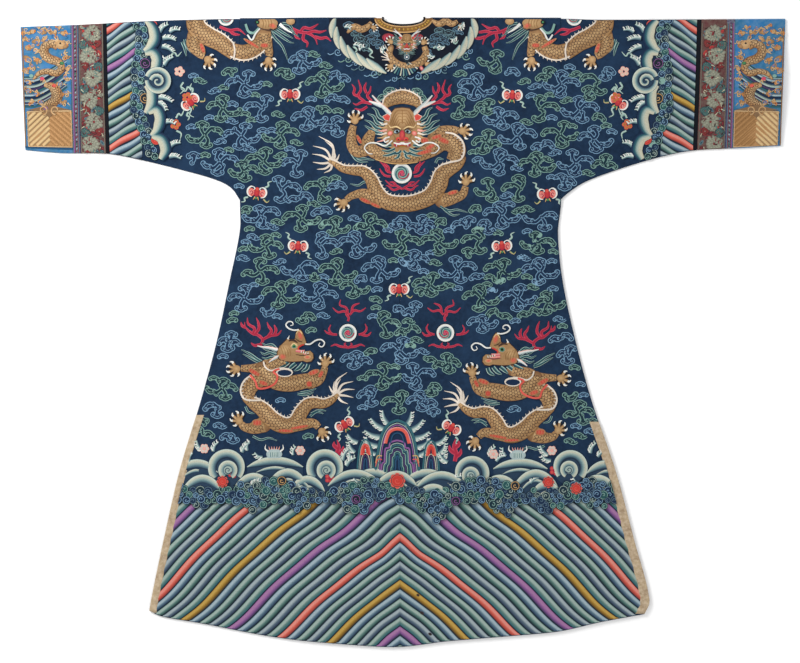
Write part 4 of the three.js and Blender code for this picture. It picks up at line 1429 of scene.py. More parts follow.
def shoulder_dragon(side):
    """The part of a shoulder's dragon that comes over the fold on to the back."""
    s = Stitching()
    s.place(0, 0, mirror=side == "right")
    strands(s, [
        [(-290, 26), (-278, 44), (-262, 62), (-250, 92)], [(-286, 24), (-264, 40), (-246, 52), (-236, 54)],
        [(-278, 20), (-256, 34), (-238, 44)], [(-270, 16), (-250, 24), (-226, 40)],
        [(-262, 10), (-246, 14), (-236, 30)], [(-486, 52), (-480, 66), (-476, 84)],
        [(-480, 46), (-476, 60), (-466, 76)], [(-424, 52), (-414, 60), (-404, 72)],
    ], 5.0)
    flame(s, [
        [(-240, 22), (-222, 30), (-206, 32), (-190, 42), (-184, 58)],
        [(-222, 30), (-214, 20), (-200, 22), (-182, 12)],
        [(-206, 32), (-192, 28), (-178, 30), (-164, 26)],
        [(-214, 34), (-216, 46), (-206, 54), (-208, 64)],
        [(-190, 40), (-176, 44), (-164, 42), (-154, 50)], [(-230, 26), (-232, 40), (-222, 46)],
        [(-402, 18), (-380, 26), (-360, 24), (-344, 36)], [(-380, 26), (-370, 34), (-356, 36)],
    ], 6.0)
    pearl(s, -388, -2, 18)
    scaly(s, [(-456, 38), (-460, 60), (-446, 78), (-436, 84)], [36, 32, 22, 16], 0.8)
    claw(s, -428, 92, 58)
    body = [(-458, -6), (-452, 20), (-430, 38), (-402, 52), (-384, 66), (-368, 80)]
    scaly(s, body, [38, 42, 42, 40, 36, 28], 1.1, ridge=1)
    chest = [(-374, 70), (-350, 76), (-328, 70), (-310, 54), (-302, 34)]
    scaly(s, chest, [30, 34, 34, 34, 34], 1.6, ridge=-1)
    s.line([(-372, 52), (-368, 70), (-370, 92)], 3.6, "ridge", 2.9)
    scaly(s, [(-304, 34), (-296, 58), (-291, 76), (-292, 84)], [34, 28, 19, 15], 1.9)
    claw(s, -293, 94, 92)
    for x, y, wide, high, turn in ((-440, 66, 14, 5, 70), (-330, 56, 22, 4, 32), (-302, 60, 10, 6, 0)):
        flecks(s, x, y, wide, high, turn, 2.9)
    s.fan(ellipse(-296, 10, 24, 13), "dragon light", "dragon", 2.2, 0.8)
    s.fan(ellipse(-284, 16, 11, 7, 30), "coral", "dragon", 2.6, 0.5)
    for crease in range(4):
        x = -308 + 6 * crease
        s.line([(x, 0 - crease), (x + 4, 10), (x + 2, 20)], [0.8, 1.4, 0.8], "gold brown", 3.2)
    s.line([(-318, 18), (-304, 24), (-286, 26), (-274, 20)], [1, 2.4, 1], "dragon line", 3.2)
    s.line([(-344, 12), (-338, 28), (-326, 32), (-314, 20)], [5, 6, 4], "mint pale", 2.8)
    s.line([(-340, 36), (-330, 48), (-322, 34), (-312, 22)], [3.5, 4, 3], "white", 2.9)
    s.disc(-318, 8, 5, "black", 3.0)
    s.disc(-318, 8, 2.4, "eye green", 3.1)
    s.line([(-268, 12), (-254, 24), (-240, 32)], [7, 5, 2], "white", 2.8)
    s.fan(ellipse(-244, 6, 10, 8), "dragon light", "dragon", 2.2, 0.4)
    return s


BAT_WING = [(8, -12), (14, -13), (20, -7), (21, 1), (17, 8), (10, 10)]


def bat(stitching, x, y, turn, mirror):
    """A small red bat with curled pale wings, and floating ribbons on both sides."""
    stitching.place(x, y, turn, mirror)
    for path in ([(-18, 12), (-26, 15), (-24, 22), (-32, 25)], [(17, -14), (24, -19), (22, -26), (30, -30)]):
        stitching.ribbon(path, [4, 4, 3.4, 1.2], [(-1, "mint pale"), (1, "foam")], 0.6, 0.2, step=3)
    tail = [(17, 12), (25, 18), (30, 13)]
    stitching.ribbon(tail, [3.6, 3.2, 1], [(-1, "gold light"), (1, "eye green")], 0.6, 0.2, step=3)
    for flip in (-1, 1):
        stitching.fan(ellipse(flip * 13, 0, 8.6, 9, 0), "coral pale", "coral", 0.8, 0.4)
        stitching.line(spiral(flip * 13, 0, 5, 1.0, 90, flip), [2.4, 1.6], "flame", 1.3, 3)
        wing = [(flip * px, py) for px, py in BAT_WING]
        stitching.line(wing, [1.4, 3.4, 4.0, 3.8, 3, 1.2], "white", 1.2, 3)
        stitching.line([wing[0], (flip * 5, -9), (flip * 8, -6)], [2.2, 2.4, 1], "white", 1.25, 2)
        stitching.line([(flip * 3, 9), (flip * 6, 16)], [3, 1.2], "gold", 1.2)
    stitching.fan(ellipse(0, 0, 6.5, 8.5), "red", "flame", 1.0, 0.8)
    stitching.fan(ellipse(0, -8, 4.6, 4.4), "coral", "red", 1.5, 0.4)
    stitching.disc(0, 12, 2.6, "eye green", 1.3)


BATS = [
    (-466, 187, -42, False), (-245, 170, 0, False), (-319, 388, 8, False), (-227, 508, 4, True),
    (-2, 604, 0, False), (227, 508, -4, False), (328, 392, -6, True), (250, 172, 4, True),
    (486, 187, 36, True), (-123, 905, -30, False), (114, 912, 30, True),
]


def bats():
    s = Stitching()
    for across, drop, turn, mirror in BATS:
        bat(s, across, drop, turn, mirror)
    return s


def side_pearls():
    """The two pearls between the lower dragons, with flames above and below."""
    s = Stitching()
    for flip, across in ((1, -116), (-1, 101)):
        s.place(across, 700, mirror=flip < 0)
        pearl(s, 0, 0, 20)
        flame(s, [
            [(-4, 32), (-18, 30), (-28, 26), (-38, 30)], [(4, 32), (18, 30), (28, 26), (38, 30)],
            [(0, 34), (-8, 26), (-4, 22)], [(0, 34), (9, 27), (6, 22)],
            [(-24, 4), (-36, 2), (-42, -8), (-38, -18)], [(-30, 4), (-46, 0), (-52, -6)],
            [(24, 4), (36, 0), (42, -10), (38, -20)], [(30, 4), (44, 6), (52, -2)],
            [(4, -40), (-8, -48), (-22, -46), (-34, -56)], [(0, -42), (-4, -56), (-18, -62), (-16, -74)],
            [(4, -40), (14, -50), (28, -48), (40, -56)], [(8, -46), (12, -60), (26, -66)],
            [(0, -26), (2, -34), (-4, -42), (2, -52)],
        ], 4.6)
    return s


# Water and mountains

WATER = [
    (-1, "stripe line"), (-0.8, "wave dark"), (-0.35, "wave mid"), (0.1, "wave pale"), (0.5, "wave cream"),
    (0.86, "foam"), (0.94, "wave dark"), (1, "stripe line"),
]
FOAM_WATER = [
    (-1, "wave dark"), (-0.7, "wave mid"), (-0.1, "wave pale"), (0.5, "wave cream"), (0.86, "foam"),
    (1, "stripe line"),
]
BODY_FOOT = 1064
ROLLS = [(-386, 1001), (-167, 1001), (160, 1013), (379, 1000)]
# Swells, from back to front: middle, crest, half width, fall at the ends
SWELLS = [
    (-452, 982, 46, 20), (-278, 976, 62, 14), (-60, 1002, 50, 24), (60, 1003, 56, 26), (268, 980, 60, 14),
    (460, 984, 44, 20), (-326, 1012, 44, 30), (-250, 1002, 46, 34), (-206, 1018, 38, 26),
    (-100, 1004, 60, 28), (-8, 1007, 46, 26), (92, 1008, 58, 30), (222, 1016, 44, 30),
    (302, 1004, 50, 34), (440, 1016, 44, 30), (-440, 1016, 44, 28), (-72, 1030, 30, 12),
    (74, 1036, 34, 16), (-222, 1040, 26, 12), (326, 1030, 28, 14),
]


def foam(stitching, x, y, heading, length, lift=0.7):
    """A spray of water: a tapering tongue with small hooked fingers along one edge."""
    a = math.radians(heading)
    along = np.array([math.cos(a), math.sin(a)])
    aside = np.array([math.sin(a), -math.cos(a)])
    root = np.array([x, y], float)
    path = smooth_path([root, root + along * length * 0.5 + aside * 3, root + along * length], 2)
    shades = [(-1, "wave dark"), (-0.3, "wave mid"), (0.4, "foam"), (1, "foam")]
    stitching.ribbon(path, [0.34 * length, 0.24 * length, 3], shades, lift, 0.3, smooth=False)
    count = int(length / 5.2) + 1
    for step in range(count):
        share = (step + 0.6) / count
        start = path[int(share * (len(path) - 1))]
        reach = 9.5 - 3.5 * share
        finger = [start, start + aside * 0.7 * reach + along, start + aside * reach + along * 4.5]
        stitching.line(finger, [3.2, 2.8, 1.8], "foam" if step % 2 else "white", lift + 0.2, 2.5)


def roll(stitching, x, y, radius, hand):
    """A wave that curls over on itself, as nested arches of shaded water."""
    stitching.place(x, y, mirror=hand < 0)
    stitching.disc(2, 4, radius * 0.86, "wave dark", 1.3, count=24)
    turn = np.radians(np.linspace(140, 396, 28))
    outer = np.stack([radius * 0.76 * np.cos(turn), radius * 0.76 * np.sin(turn)], axis=1)
    stitching.ribbon(outer, radius * np.array([0.44, 0.48, 0.48, 0.46, 0.3]), WATER, 1.6, 0.7, smooth=False)
    turn = np.radians(np.linspace(120, 420, 26))
    inner = np.stack([3 + radius * 0.36 * np.cos(turn), 5 + radius * 0.37 * np.sin(turn)], axis=1)
    stitching.ribbon(inner, radius * np.array([0.3, 0.3, 0.3, 0.24]), FOAM_WATER, 2.0, 0.6, smooth=False)
    stitching.disc(3, 5, radius * 0.22, "wave pale", 2.3, count=14)
    stitching.line(spiral(3, 5, radius * 0.2, 1.3, 20), [2.2, 1.4], "wave dark", 2.7, 3)
    stitching.place(0, 0)


def swell(stitching, middle, crest, half_width, fall, lift):
    """A hill of water: a tapering shaded band over a dark body, with a narrow one inside."""
    share = np.linspace(-1, 1, 17)
    path = np.stack([middle + half_width * share, crest + 9 + fall * np.abs(share) ** 1.9], axis=1)
    low = min(crest + 58, BODY_FOOT)
    body = np.vstack([path, [[middle + half_width, low], [middle - half_width, low]]])
    stitching.fill(body, "wave dark", lift - 0.25)
    inside_drop = crest + 25 + 0.8 * fall * np.abs(share) ** 1.9
    inside = np.stack([middle + 0.72 * half_width * share, inside_drop], axis=1)
    stitching.ribbon(inside, [1, 7, 9, 7, 1], WATER, lift - 0.12, 0.2, smooth=False)
    stitching.ribbon(path, [3, 15, 20, 21, 20, 15, 3], WATER, lift, 0.7, smooth=False)


def coral_branch(stitching):
    flame(stitching, [
        [(0, 0), (-3, -18), (2, -34), (-2, -50)], [(-2, -10), (-12, -18), (-14, -28)],
        [(0, -18), (10, -26), (12, -36)], [(0, -30), (-9, -38), (-8, -46)],
    ], 8.5, 1.0)


def shell(stitching):
    stitching.fan(ellipse(0, 4, 18, 12), "foam", "pearl grey", 1.6, 0.5)
    for flip in (-1, 1):
        stitching.line([(flip * 13, -2), (flip * 20, -8), (flip * 19, -17)], [4, 3, 1], "white", 1.8, 3)
    for k in range(-2, 3):
        stitching.line([(5 * k, -6), (6 * k, -13)], [2.6, 0.8], "coral pale", 1.7, 3)
        stitching.line([(4 * k, 0), (4 * k, 10)], 1.2, "teal", 2.2)


def blossom(stitching, petals, reach, pale, middle):
    for k in range(petals):
        a = math.radians(360 * k / petals)
        petal = ellipse(reach * math.cos(a), reach * math.sin(a), 0.75 * reach, 0.72 * reach, count=8)
        stitching.fan(petal, pale, middle, 1.5, 0.3)
    stitching.disc(0, 0, 0.5 * reach, middle, 1.9)


SPRAYS = [
    (-440, 962, -120, 26), (-416, 964, -60, 24), (-352, 966, -50, 28), (-340, 962, -75, 22),
    (-306, 976, -150, 20), (-128, 984, -60, 30), (-120, 996, -40, 28), (106, 988, -130, 30),
    (200, 976, -60, 26), (214, 986, -30, 24), (330, 972, -130, 28), (336, 984, -150, 24),
    (424, 968, -60, 26), (440, 976, -30, 24), (-470, 990, -70, 24), (466, 968, -100, 22),
    (-238, 972, -70, 20), (236, 974, -110, 20), (-332, 1040, -20, 26), (-84, 1034, -150, 22),
    (290, 1034, -30, 24), (118, 1030, -30, 22), (-208, 1050, -140, 22), (402, 1036, -140, 22),
]


def small_things(stitching):
    """Coral, shells, blossoms and foam that float over the waves."""
    for x, y, flip in ((-138, 988, 1), (122, 986, -1)):
        stitching.place(x, y, mirror=flip < 0)
        coral_branch(stitching)
    for x, y in ((-280, 966), (262, 968)):
        stitching.place(x, y)
        shell(stitching)
    for x, y in ((-222, 962), (338, 962), (-436, 958), (208, 970)):
        stitching.place(x, y)
        blossom(stitching, 6, 6.5, "foam", "coral pale")
    stitching.place(0, 0)
    for x, y, heading, length in SPRAYS:
        foam(stitching, x, y, heading, length, 3.6 if y > 1020 else 1.3)
    for x, y in ((-156, 1024), (-372, 1012), (344, 1006), (206, 1040)):
        stitching.place(x, y)
        blossom(stitching, 5, 7, "coral", "flame")


def contour(half_width, top, bottom, steps):
    """A stepped or rounded arch, from its left foot over the top to its right foot."""
    height = bottom - top
    if steps:
        half = [(0.1, 0), (0.42, 0.06), (0.5, 0.2), (0.72, 0.24), (0.78, 0.6), (0.92, 0.66), (1.0, 1.0)]
    else:
        half = [(0.1, 0), (0.42, 0.07), (0.66, 0.22), (0.8, 0.42), (0.92, 0.72), (1.0, 1.0)]
    right = [(x * half_width, top + y * height) for x, y in half]
    return [(-x, y) for x, y in reversed(right)] + right


def mountain(stitching):
    """A tall rock in nested outlines between two small ones, with spray on both sides."""
    stitching.place(-6, 0)
    for x, y, heading, length in (
        (-20, 904, -112, 34), (-30, 914, -140, 38), (-38, 932, -156, 38), (-44, 952, -150, 34),
        (-48, 970, -140, 30), (-88, 944, -140, 30), (-94, 966, -120, 28), (-98, 984, -110, 26),
        (-60, 954, -110, 24),
    ):
        foam(stitching, x, y, heading, length, 0.6)
        stitching.place(-6, 0, mirror=True)
        foam(stitching, x + 2, y + 3, heading, length, 0.6)
        stitching.place(-6, 0)
    for middle, top in ((-71, 938), (75, 940)):
        stitching.place(-6 + middle, 0)
        stitching.fill(contour(21, top - 4, 1012, False), "sky dark", 0.4)
        for half_width, drop, foot, shade, width in (
            (18.5, 0, 70, "teal", 3.4), (14.5, 5, 70, "wave pale", 1.6), (9.5, 10, 34, "coral", 4.2),
            (5, 15, 34, "red", 5), (11.5, 30, 70, "wave cream", 1.6), (8, 35, 70, "purple dark", 2.6),
            (4, 41, 70, "sky mid", 2.4),
        ):
            stitching.line(contour(half_width, top + drop, top + foot, False), width, shade, 1.2)
    stitching.place(-6, 0)
    stitching.fill(contour(52, 893, 1018, False), "sky dark", 0.5)
    nested = [
        (50, 896, 1018, False, "teal", 5.5), (45, 902, 1018, False, "wave pale", 1.8),
        (41, 906, 1018, False, "purple", 2.2), (29, 911, 946, False, "coral pale", 2.6),
        (26, 914, 946, False, "coral", 6.5), (15, 923, 946, False, "sky mid", 2.6),
        (37, 940, 1018, True, "purple", 3.6), (32, 946, 1018, True, "wave pale", 1.8),
        (29, 950, 1018, True, "teal", 3.4), (24, 955, 1018, True, "mint pale", 1.8),
        (20, 960, 1018, True, "purple dark", 4), (15, 964, 1018, True, "mint pale", 1.8),
        (11, 968, 1018, True, "teal", 3), (5, 974, 1018, True, "sky mid", 3),
    ]
    for half_width, top, bottom, steps, shade, width in nested:
        stitching.line(contour(half_width, top, bottom, steps), width, shade, 1.6, 3)
    for flip in (-1, 1):
        for k, shade in enumerate(("gold", "coral", "teal")):
            foot = 974 + 8 * k
            stitching.line([(flip * 34, foot), (flip * 44, foot), (flip * 48, foot + 16)], 2.4, shade, 2.0)


def waves():
    s = Stitching()
    mountain(s)
    s.place(0, 0)
    for k, (middle, crest, half_width, fall) in enumerate(SWELLS[:6]):
        swell(s, middle, crest, half_width, fall, 1.2 + 0.05 * k)
    for k, (x, y) in enumerate(ROLLS):
        roll(s, x, y, 43 if k < 2 else 40, 1 if k < 2 else -1)
    for k, (middle, crest, half_width, fall) in enumerate(SWELLS[6:]):
        swell(s, middle, crest, half_width, fall, 2.7 + 0.12 * k)
    small_things(s)
    return s


# Lobes of the lower edge of the curls: middle and lowest drop
CURL_LOBES = [
    (-440, 1084), (-328, 1092), (-225, 1092), (-99, 1102), (81, 1118), (233, 1106), (325, 1098), (440, 1088),
]
CURL_BAND_FOOT = 1070


def curl_band_edge(across):
    """Lower edge of the band of curls, which hangs down in uneven lobes."""
    lobes = [(low - CURL_BAND_FOOT) * np.exp(-(((across - middle) / 36) ** 2)) for middle, low in CURL_LOBES]
    return CURL_BAND_FOOT + np.max(lobes, axis=0)


CURL_SHADES = ["sky pale", "mint pale", "stripe blue mid", "wave pale", "sky pale", "mint pale"]
CURL_MIDDLES = ["sky dark", "mint dark", "sky dark", "mint dark", "wave dark", "mint mid"]


def curl(stitching, x, y, radius, edge, middle, start, lift):
    """A round curl: a pale line round a dark disc, winding inwards."""
    stitching.disc(x, y, radius + 1.3, "stripe line", lift)
    stitching.disc(x, y, radius, edge, lift + 0.08)
    stitching.disc(x, y, radius - 1.3, middle, lift + 0.16)
    stitching.line(spiral(x, y, radius * 0.54, 1.0, start), [1.7, 1.3], edge, lift + 0.24, 3)


CURL_PITCH = 16.5
CURL_ROW_PITCH = 11
CURL_BAND_TOP = 1028


def curl_band():
    """Rows of small curls between the waves and the slanting stripes."""
    s = Stitching()
    draw = random.Random(11)
    places = []
    for row in range(9):
        for column in range(-31, 32):
            x = column * CURL_PITCH + (8.2 if row % 2 else 0) + draw.uniform(-3, 3)
            y = CURL_BAND_TOP + row * CURL_ROW_PITCH + draw.uniform(-2.5, 2.5)
            top = 1038 + 12 * math.sin(x / 38.0)
            if top < y < curl_band_edge(x) + 2:
                places.append((x, y))
    share = np.linspace(-500, 500, 120)
    low = curl_band_edge(share) - 5
    for a in range(len(share) - 1):
        strip = [(share[a], 1040), (share[a + 1], 1040), (share[a + 1], low[a + 1]), (share[a], low[a])]
        s.fill(strip, "wave dark", 2.2)
    draw.shuffle(places)
    for k, (x, y) in enumerate(places):
        shade = draw.randrange(6)
        radius = draw.choice([6.5, 7.5, 8.5, 10])
        curl(s, x, y, radius, CURL_SHADES[shade], CURL_MIDDLES[shade], draw.uniform(0, 360), 4.4 + 0.004 * k)
    specials = [
        (-395, 1031, "coral", 12), (-263, 1029, "gold", 12), (-98, 1070, "purple", 12),
        (-6, 1029, "coral", 16), (124, 1074, "purple", 12), (256, 1040, "gold", 12),
        (330, 1032, "coral", 12), (-318, 1052, "mint pale", 10), (392, 1046, "coral", 12),
    ]
    for x, y, shade, radius in specials:
        if shade == "coral":
            for ring in range(8):
                a = math.radians(45 * ring)
                reach = radius * 0.75
                s.disc(x + reach * math.cos(a), y + reach * math.sin(a), radius * 0.36, "coral", 5.7)
        curl(s, x, y, radius * 0.8, shade, "stripe line" if shade != "coral" else "red", 40, 5.8)
    return s


# Slanting hem stripes

STRIPE_PITCH = 22.6
LOWER_STRIPE_PITCH = 20.8
RED_APEX = 1145.4
STRIPE_TOP = 1052
# Stripes are counted downwards from the red one whose tip gives the red apex
STRIPES = range(-28, 13)
STRIPE_REACH = 565
SLEEVE_STRIPE_PITCH = 17.4
# Small dark stains on the right of the hem: place and radius
HEM_STAINS = [(40, 1284, 4), (49, 1324, 5), (67, 1371, 4.5)]


def striped(dark, middle, pale):
    """Shades across a stripe, from its pale upper edge to its dark lower one."""
    return [
        (0, "stripe line"), (0.05, middle), (0.13, pale), (0.34, pale), (0.56, middle), (0.82, dark),
        (0.93, "stripe line"), (1, "stripe line"),
    ]


NEUTRALS = [
    striped("stripe blue dark", "stripe blue mid", "stripe blue"),
    striped("stripe green dark", "stripe green mid", "stripe green"),
    striped("stripe lilac dark", "stripe lilac mid", "stripe lilac"),
    striped("teal", "stripe green mid", "stripe green"),
]
ACCENTS = {
    "red": striped("stripe red dark", "stripe red", "stripe red pale"),
    "gold": striped("stripe gold dark", "stripe gold", "stripe gold pale"),
    "purple": striped("purple dark", "purple", "purple pale"),
}


def stripe_shades(index, order):
    """Every fifth stripe has an accent colour, and the others alternate."""
    if index % 5 == 0:
        return ACCENTS[order[(index // 5) % 3]]
    return NEUTRALS[index % 5 - 1]


def stripe_line(reach, index):
    """Drop of a stripe's upper edge: a slope with slow waves that drift from stripe to stripe."""
    pitch = (LOWER_STRIPE_PITCH if index > 0 else STRIPE_PITCH) + 0.8 * smooth_step(reach / 180)
    slope = 0.76 * reach + 0.00024 * reach**2
    drift = reach + 0.8 * index * STRIPE_PITCH
    wave = 4.6 * np.sin(2 * math.pi * drift / 205) + 2.4 * np.sin(2 * math.pi * drift / 118)
    return RED_APEX + index * pitch + slope + wave * smooth_step(reach / 50)


def stripe_patch(stitching, across, upper, pitch, low, high, shades):
    """One stripe over a row of places, cut off at two limits."""
    shares = np.array([share for share, _ in shades])
    drop = np.clip(upper[:, None] + np.reshape(pitch, (-1, 1)) * shares, low[:, None], high[:, None])
    lift = 0.3 + 0.9 * np.sqrt(np.maximum(4 * shares * (1 - shares), 0))
    grid = np.stack(np.broadcast_arrays(across[:, None], drop, lift), axis=-1)
    faces = grid_faces(len(across), len(shades))
    corners = grid.reshape(-1, 3)[faces][:, :, 1]
    open_faces = faces[np.abs(corners[:, 0] - corners[:, 1]) + np.abs(corners[:, 2] - corners[:, 3]) > 0.2]
    if not len(open_faces):
        return
    paint = np.broadcast_to(np.array([linear(name) for _, name in shades])[None], grid.shape).reshape(-1, 3)
    threads = np.stack(np.broadcast_arrays(across[:, None], drop), axis=-1).reshape(-1, 2) * MM
    stitching.add(grid.reshape(-1, 3), paint, threads, open_faces)


def hem_stripes(side):
    s = Stitching()
    direction = DIRECTION[side]
    reach = np.linspace(HALF_GAP, STRIPE_REACH, 96)
    for index in STRIPES:
        upper = stripe_line(reach, index)
        pitch = stripe_line(reach, index + 1) - upper
        across = direction * reach
        low = np.full(len(reach), float(STRIPE_TOP))
        shades = stripe_shades(index, ["red", "gold", "purple"])
        stripe_patch(s, across, upper, pitch, low, hem_drop(across) - 1.5, shades)
    if side == "right":
        for x, y, radius in HEM_STAINS:
            s.fan(ellipse(x, y, radius, 0.7 * radius, 30, 7), "stripe line", "dragon line", 1.4)
    return s.lay(f"hem_stripes_{side}", FLOSS, "coloured_silk", keep_on_body)


# Clouds

CLOUD_SHADES = {
    "mint": ("mint pale", "mint mid", "mint dark"),
    "sky": ("sky pale", "sky mid", "sky dark"),
}


def cloud_head(stitching, across, drop, size, turn, shades, lift=0.25):
    """Three flat lobes outlined pale round a dark middle, with a curl in each side one."""
    pale, mid, dark = shades
    t = math.radians(turn)

    def at(x, y):
        turned_x = x * math.cos(t) - y * math.sin(t)
        turned_y = x * math.sin(t) + y * math.cos(t)
        return across + size * turned_x, drop + size * turned_y

    lobes = [(-0.62, 0.06, 0.44, 0.42), (0.62, 0.06, 0.44, 0.42), (0, -0.16, 0.7, 0.44)]
    for step, shade, inset in ((0, pale, -0.5), (0.1, mid, 1.0), (0.2, dark, 1.7)):
        for x, y, wide, high in lobes:
            stitching.disc(*at(x, y), size * wide - inset, shade, lift + step, size * high - inset, turn)
    for x, hand in ((-0.62, -1), (0.62, 1)):
        swirl = spiral(*at(x, 0.07), size * 0.27, 1.1, turn + 90, hand)
        stitching.line(swirl, [1.7, 1.2], pale, lift + 0.34, 2.5)
    stitching.line([at(-0.34, -0.14), at(0, -0.3), at(0.34, -0.14)], [0.8, 1.3, 0.8], pale, lift + 0.34, 4)


def cloud_stem(stitching, path, width, shades, lift=0.25):
    """A winding stem with a pale outline and a dark inside."""
    for step, shade, inset in ((0, shades[0], 0), (0.1, shades[1], 2.8), (0.2, shades[2], 4.4)):
        stitching.line(path, np.maximum(np.subtract(width, inset), 1.5), shade, lift + step, 4)


def cloud_curl(stitching, x, y, shades, start, size=5.2):
    """A small curl where stems meet."""
    for step, inset in enumerate((0, 1.4, 2.1)):
        stitching.disc(x, y, size - inset, shades[step], 0.26 + 0.1 * step)
    stitching.line(spiral(x, y, size * 0.5, 1.0, start), [1.5, 1.1], shades[0], 0.6, 2.5)
    take(x, y, size)


def cloud(stitching, across, drop, wide, high, shades, draw):
    """A winding stem from end to end, with branches up and down and a head at each end."""
    hand = draw.choice([-1, 1])
    lean = hand * draw.uniform(0.15, 0.4) * high
    branches = [
        ((-wide, -lean), (-0.5 * wide, -lean - hand * 0.25 * high), 0.6),
        ((wide, lean), (0.5 * wide, lean + hand * 0.25 * high), 0.6),
        ((draw.uniform(-0.2, 0.35) * wide * hand, -high), (0.24 * wide * hand, -0.5 * high), 0.25),
        ((draw.uniform(-0.35, 0.2) * wide * hand, high), (-0.24 * wide * hand, 0.5 * high), 0.25),
    ]
    if wide > 40:
        branches.append(((-0.62 * wide * hand, 0.8 * high), (-0.5 * wide * hand, 0.2 * high), 0.3))
    heads = []
    for (x, y), (bend_x, bend_y), sway in branches:
        size = draw.uniform(13.5, 15.5)
        for share in (1.0, 0.82, 0.64):
            place = (across + x * share, drop + y * share)
            if is_free(*place, size * 0.62):
                heads.append((*place, size, (across + bend_x * share, drop + bend_y * share), sway))
                take(*place, size * 0.78)
                break
    for x, y, size, elbow, _ in heads:
        cloud_stem(stitching, [(across, drop), elbow, (x, y)], [7.4, 8.6, 9.6], shades)
        take(*elbow, 6)
        if draw.random() < 0.7:
            cloud_curl(stitching, elbow[0], elbow[1] + draw.choice([-4, 4]), shades, draw.uniform(0, 360))
    cloud_curl(stitching, across, drop, shades, draw.uniform(0, 360), 6)
    take(across, drop, 8)
    for x, y, size, elbow, sway in heads:
        outward = math.degrees(math.atan2(y - elbow[1], x - elbow[0])) + 90
        upright = 0 if y < drop + 4 else 180
        turn = upright + 0.4 * sway * ((outward - upright + 180) % 360 - 180)
        cloud_head(stitching, x, y, size, turn, shades, 0.27)


def tuft(stitching, x, y, shades, draw):
    """A single cloud head with a short tail, for a small space."""
    tail = draw.choice([-1, 1])
    path = [(x, y + 2), (x + tail * 10, y + 6), (x + tail * 18, y + 2)]
    if is_free(x + tail * 19, y + 3, 4):
        cloud_stem(stitching, path, [8, 6.6, 5], shades)
        take(x + tail * 14, y + 4, 7)
    cloud_head(stitching, x, y, draw.uniform(10.5, 12.5), draw.uniform(-10, 10), shades)
    take(x, y, 9)


CLOUD_PITCH = 88
CLOUD_ROW_PITCH = 59
# Smaller clouds for the gaps: free space that each needs, half width, half height, and tries
SMALL_CLOUDS = [(23, 27, 20, 2500), (17, 22, 16, 2500), (12.5, 16, 12, 3000), (8.5, 0, 0, 6000)]


def clouds():
    """Green and blue clouds all over the ground: large ones in staggered rows, and small ones between."""
    draw = random.Random(5)
    made = {"left": Stitching(), "right": Stitching()}
    placed = [(0, -200, "mint")]

    def add(across, drop, wide, high, colour):
        stitching = made["left" if across < 0 else "right"]
        if wide:
            cloud(stitching, across, drop, wide, high, CLOUD_SHADES[colour], draw)
        else:
            tuft(stitching, across, drop, CLOUD_SHADES[colour], draw)
        placed.append((across, drop, colour))

    def contrast(across, drop):
        near = sorted(placed, key=lambda p: (p[0] - across) ** 2 + 1.6 * (p[1] - drop) ** 2)[:3]
        mints = sum(colour == "mint" for _, _, colour in near)
        return "sky" if mints > len(near) / 2 else "mint"

    for row in range(17):
        for column in range(-7, 8):
            across = column * CLOUD_PITCH + (CLOUD_PITCH / 2 if row % 2 else 0) + draw.uniform(-8, 8)
            drop = 28 + row * CLOUD_ROW_PITCH + draw.uniform(-6, 6)
            if is_free(across, drop, 16):
                add(across, drop, 30, 23, contrast(across, drop))
    for need, wide, high, tries in SMALL_CLOUDS:
        for _ in range(tries):
            across = draw.uniform(-560, 560)
            drop = draw.uniform(10, WAVES_TOP - 3)
            if is_free(across, drop, need):
                add(across, drop, wide, high, contrast(across, drop))
    for side, stitching in made.items():
        stitching.lay(f"clouds_{side}", FLOSS, "coloured_silk", keep_on_body)


# Sleeve ends, bands and cuffs

def sleeve_axes(stitching, side, row):
    """Lets x run outwards from a sleeve piece's inner edge, and y be the drop."""
    names = [piece[0] for piece in SLEEVE_PIECES]
    column = SIDE_COLUMN[side]
    index = names.index(row)
    inner = SLEEVE_PIECES[index - 1][column] if index else (SLEEVE_REACH[side], SLEEVE_REACH[side])
    outer = SLEEVE_PIECES[index][column]
    direction = DIRECTION[side]
    lean = (inner[1] - inner[0] + outer[1] - outer[0]) / 2 / SLEEVE_END_DEPTH
    stitching.origin = np.array([direction * (inner[0] - 15 * lean), 0.0])
    stitching.axes = np.array([[direction, 0], [direction * lean, 1]])
    return (outer[0] - inner[0] + outer[1] - inner[1]) / 2


def sleeve_end_stripes(s):
    """Slanting stripes next to the black piping."""
    x = np.linspace(0, 72, 12)
    for index in range(-1, 22):
        start = 20 + index * SLEEVE_STRIPE_PITCH
        slope = 0.72 - 0.2 * index / 20
        upper = start - slope * x + 1.5 * np.sin(x / 11 + index)
        limit = np.full(len(x), 400.0)
        shades = stripe_shades(index, ["red", "purple", "gold"])
        stripe_patch(s, x, upper, SLEEVE_STRIPE_PITCH, limit * 0, limit, shades)


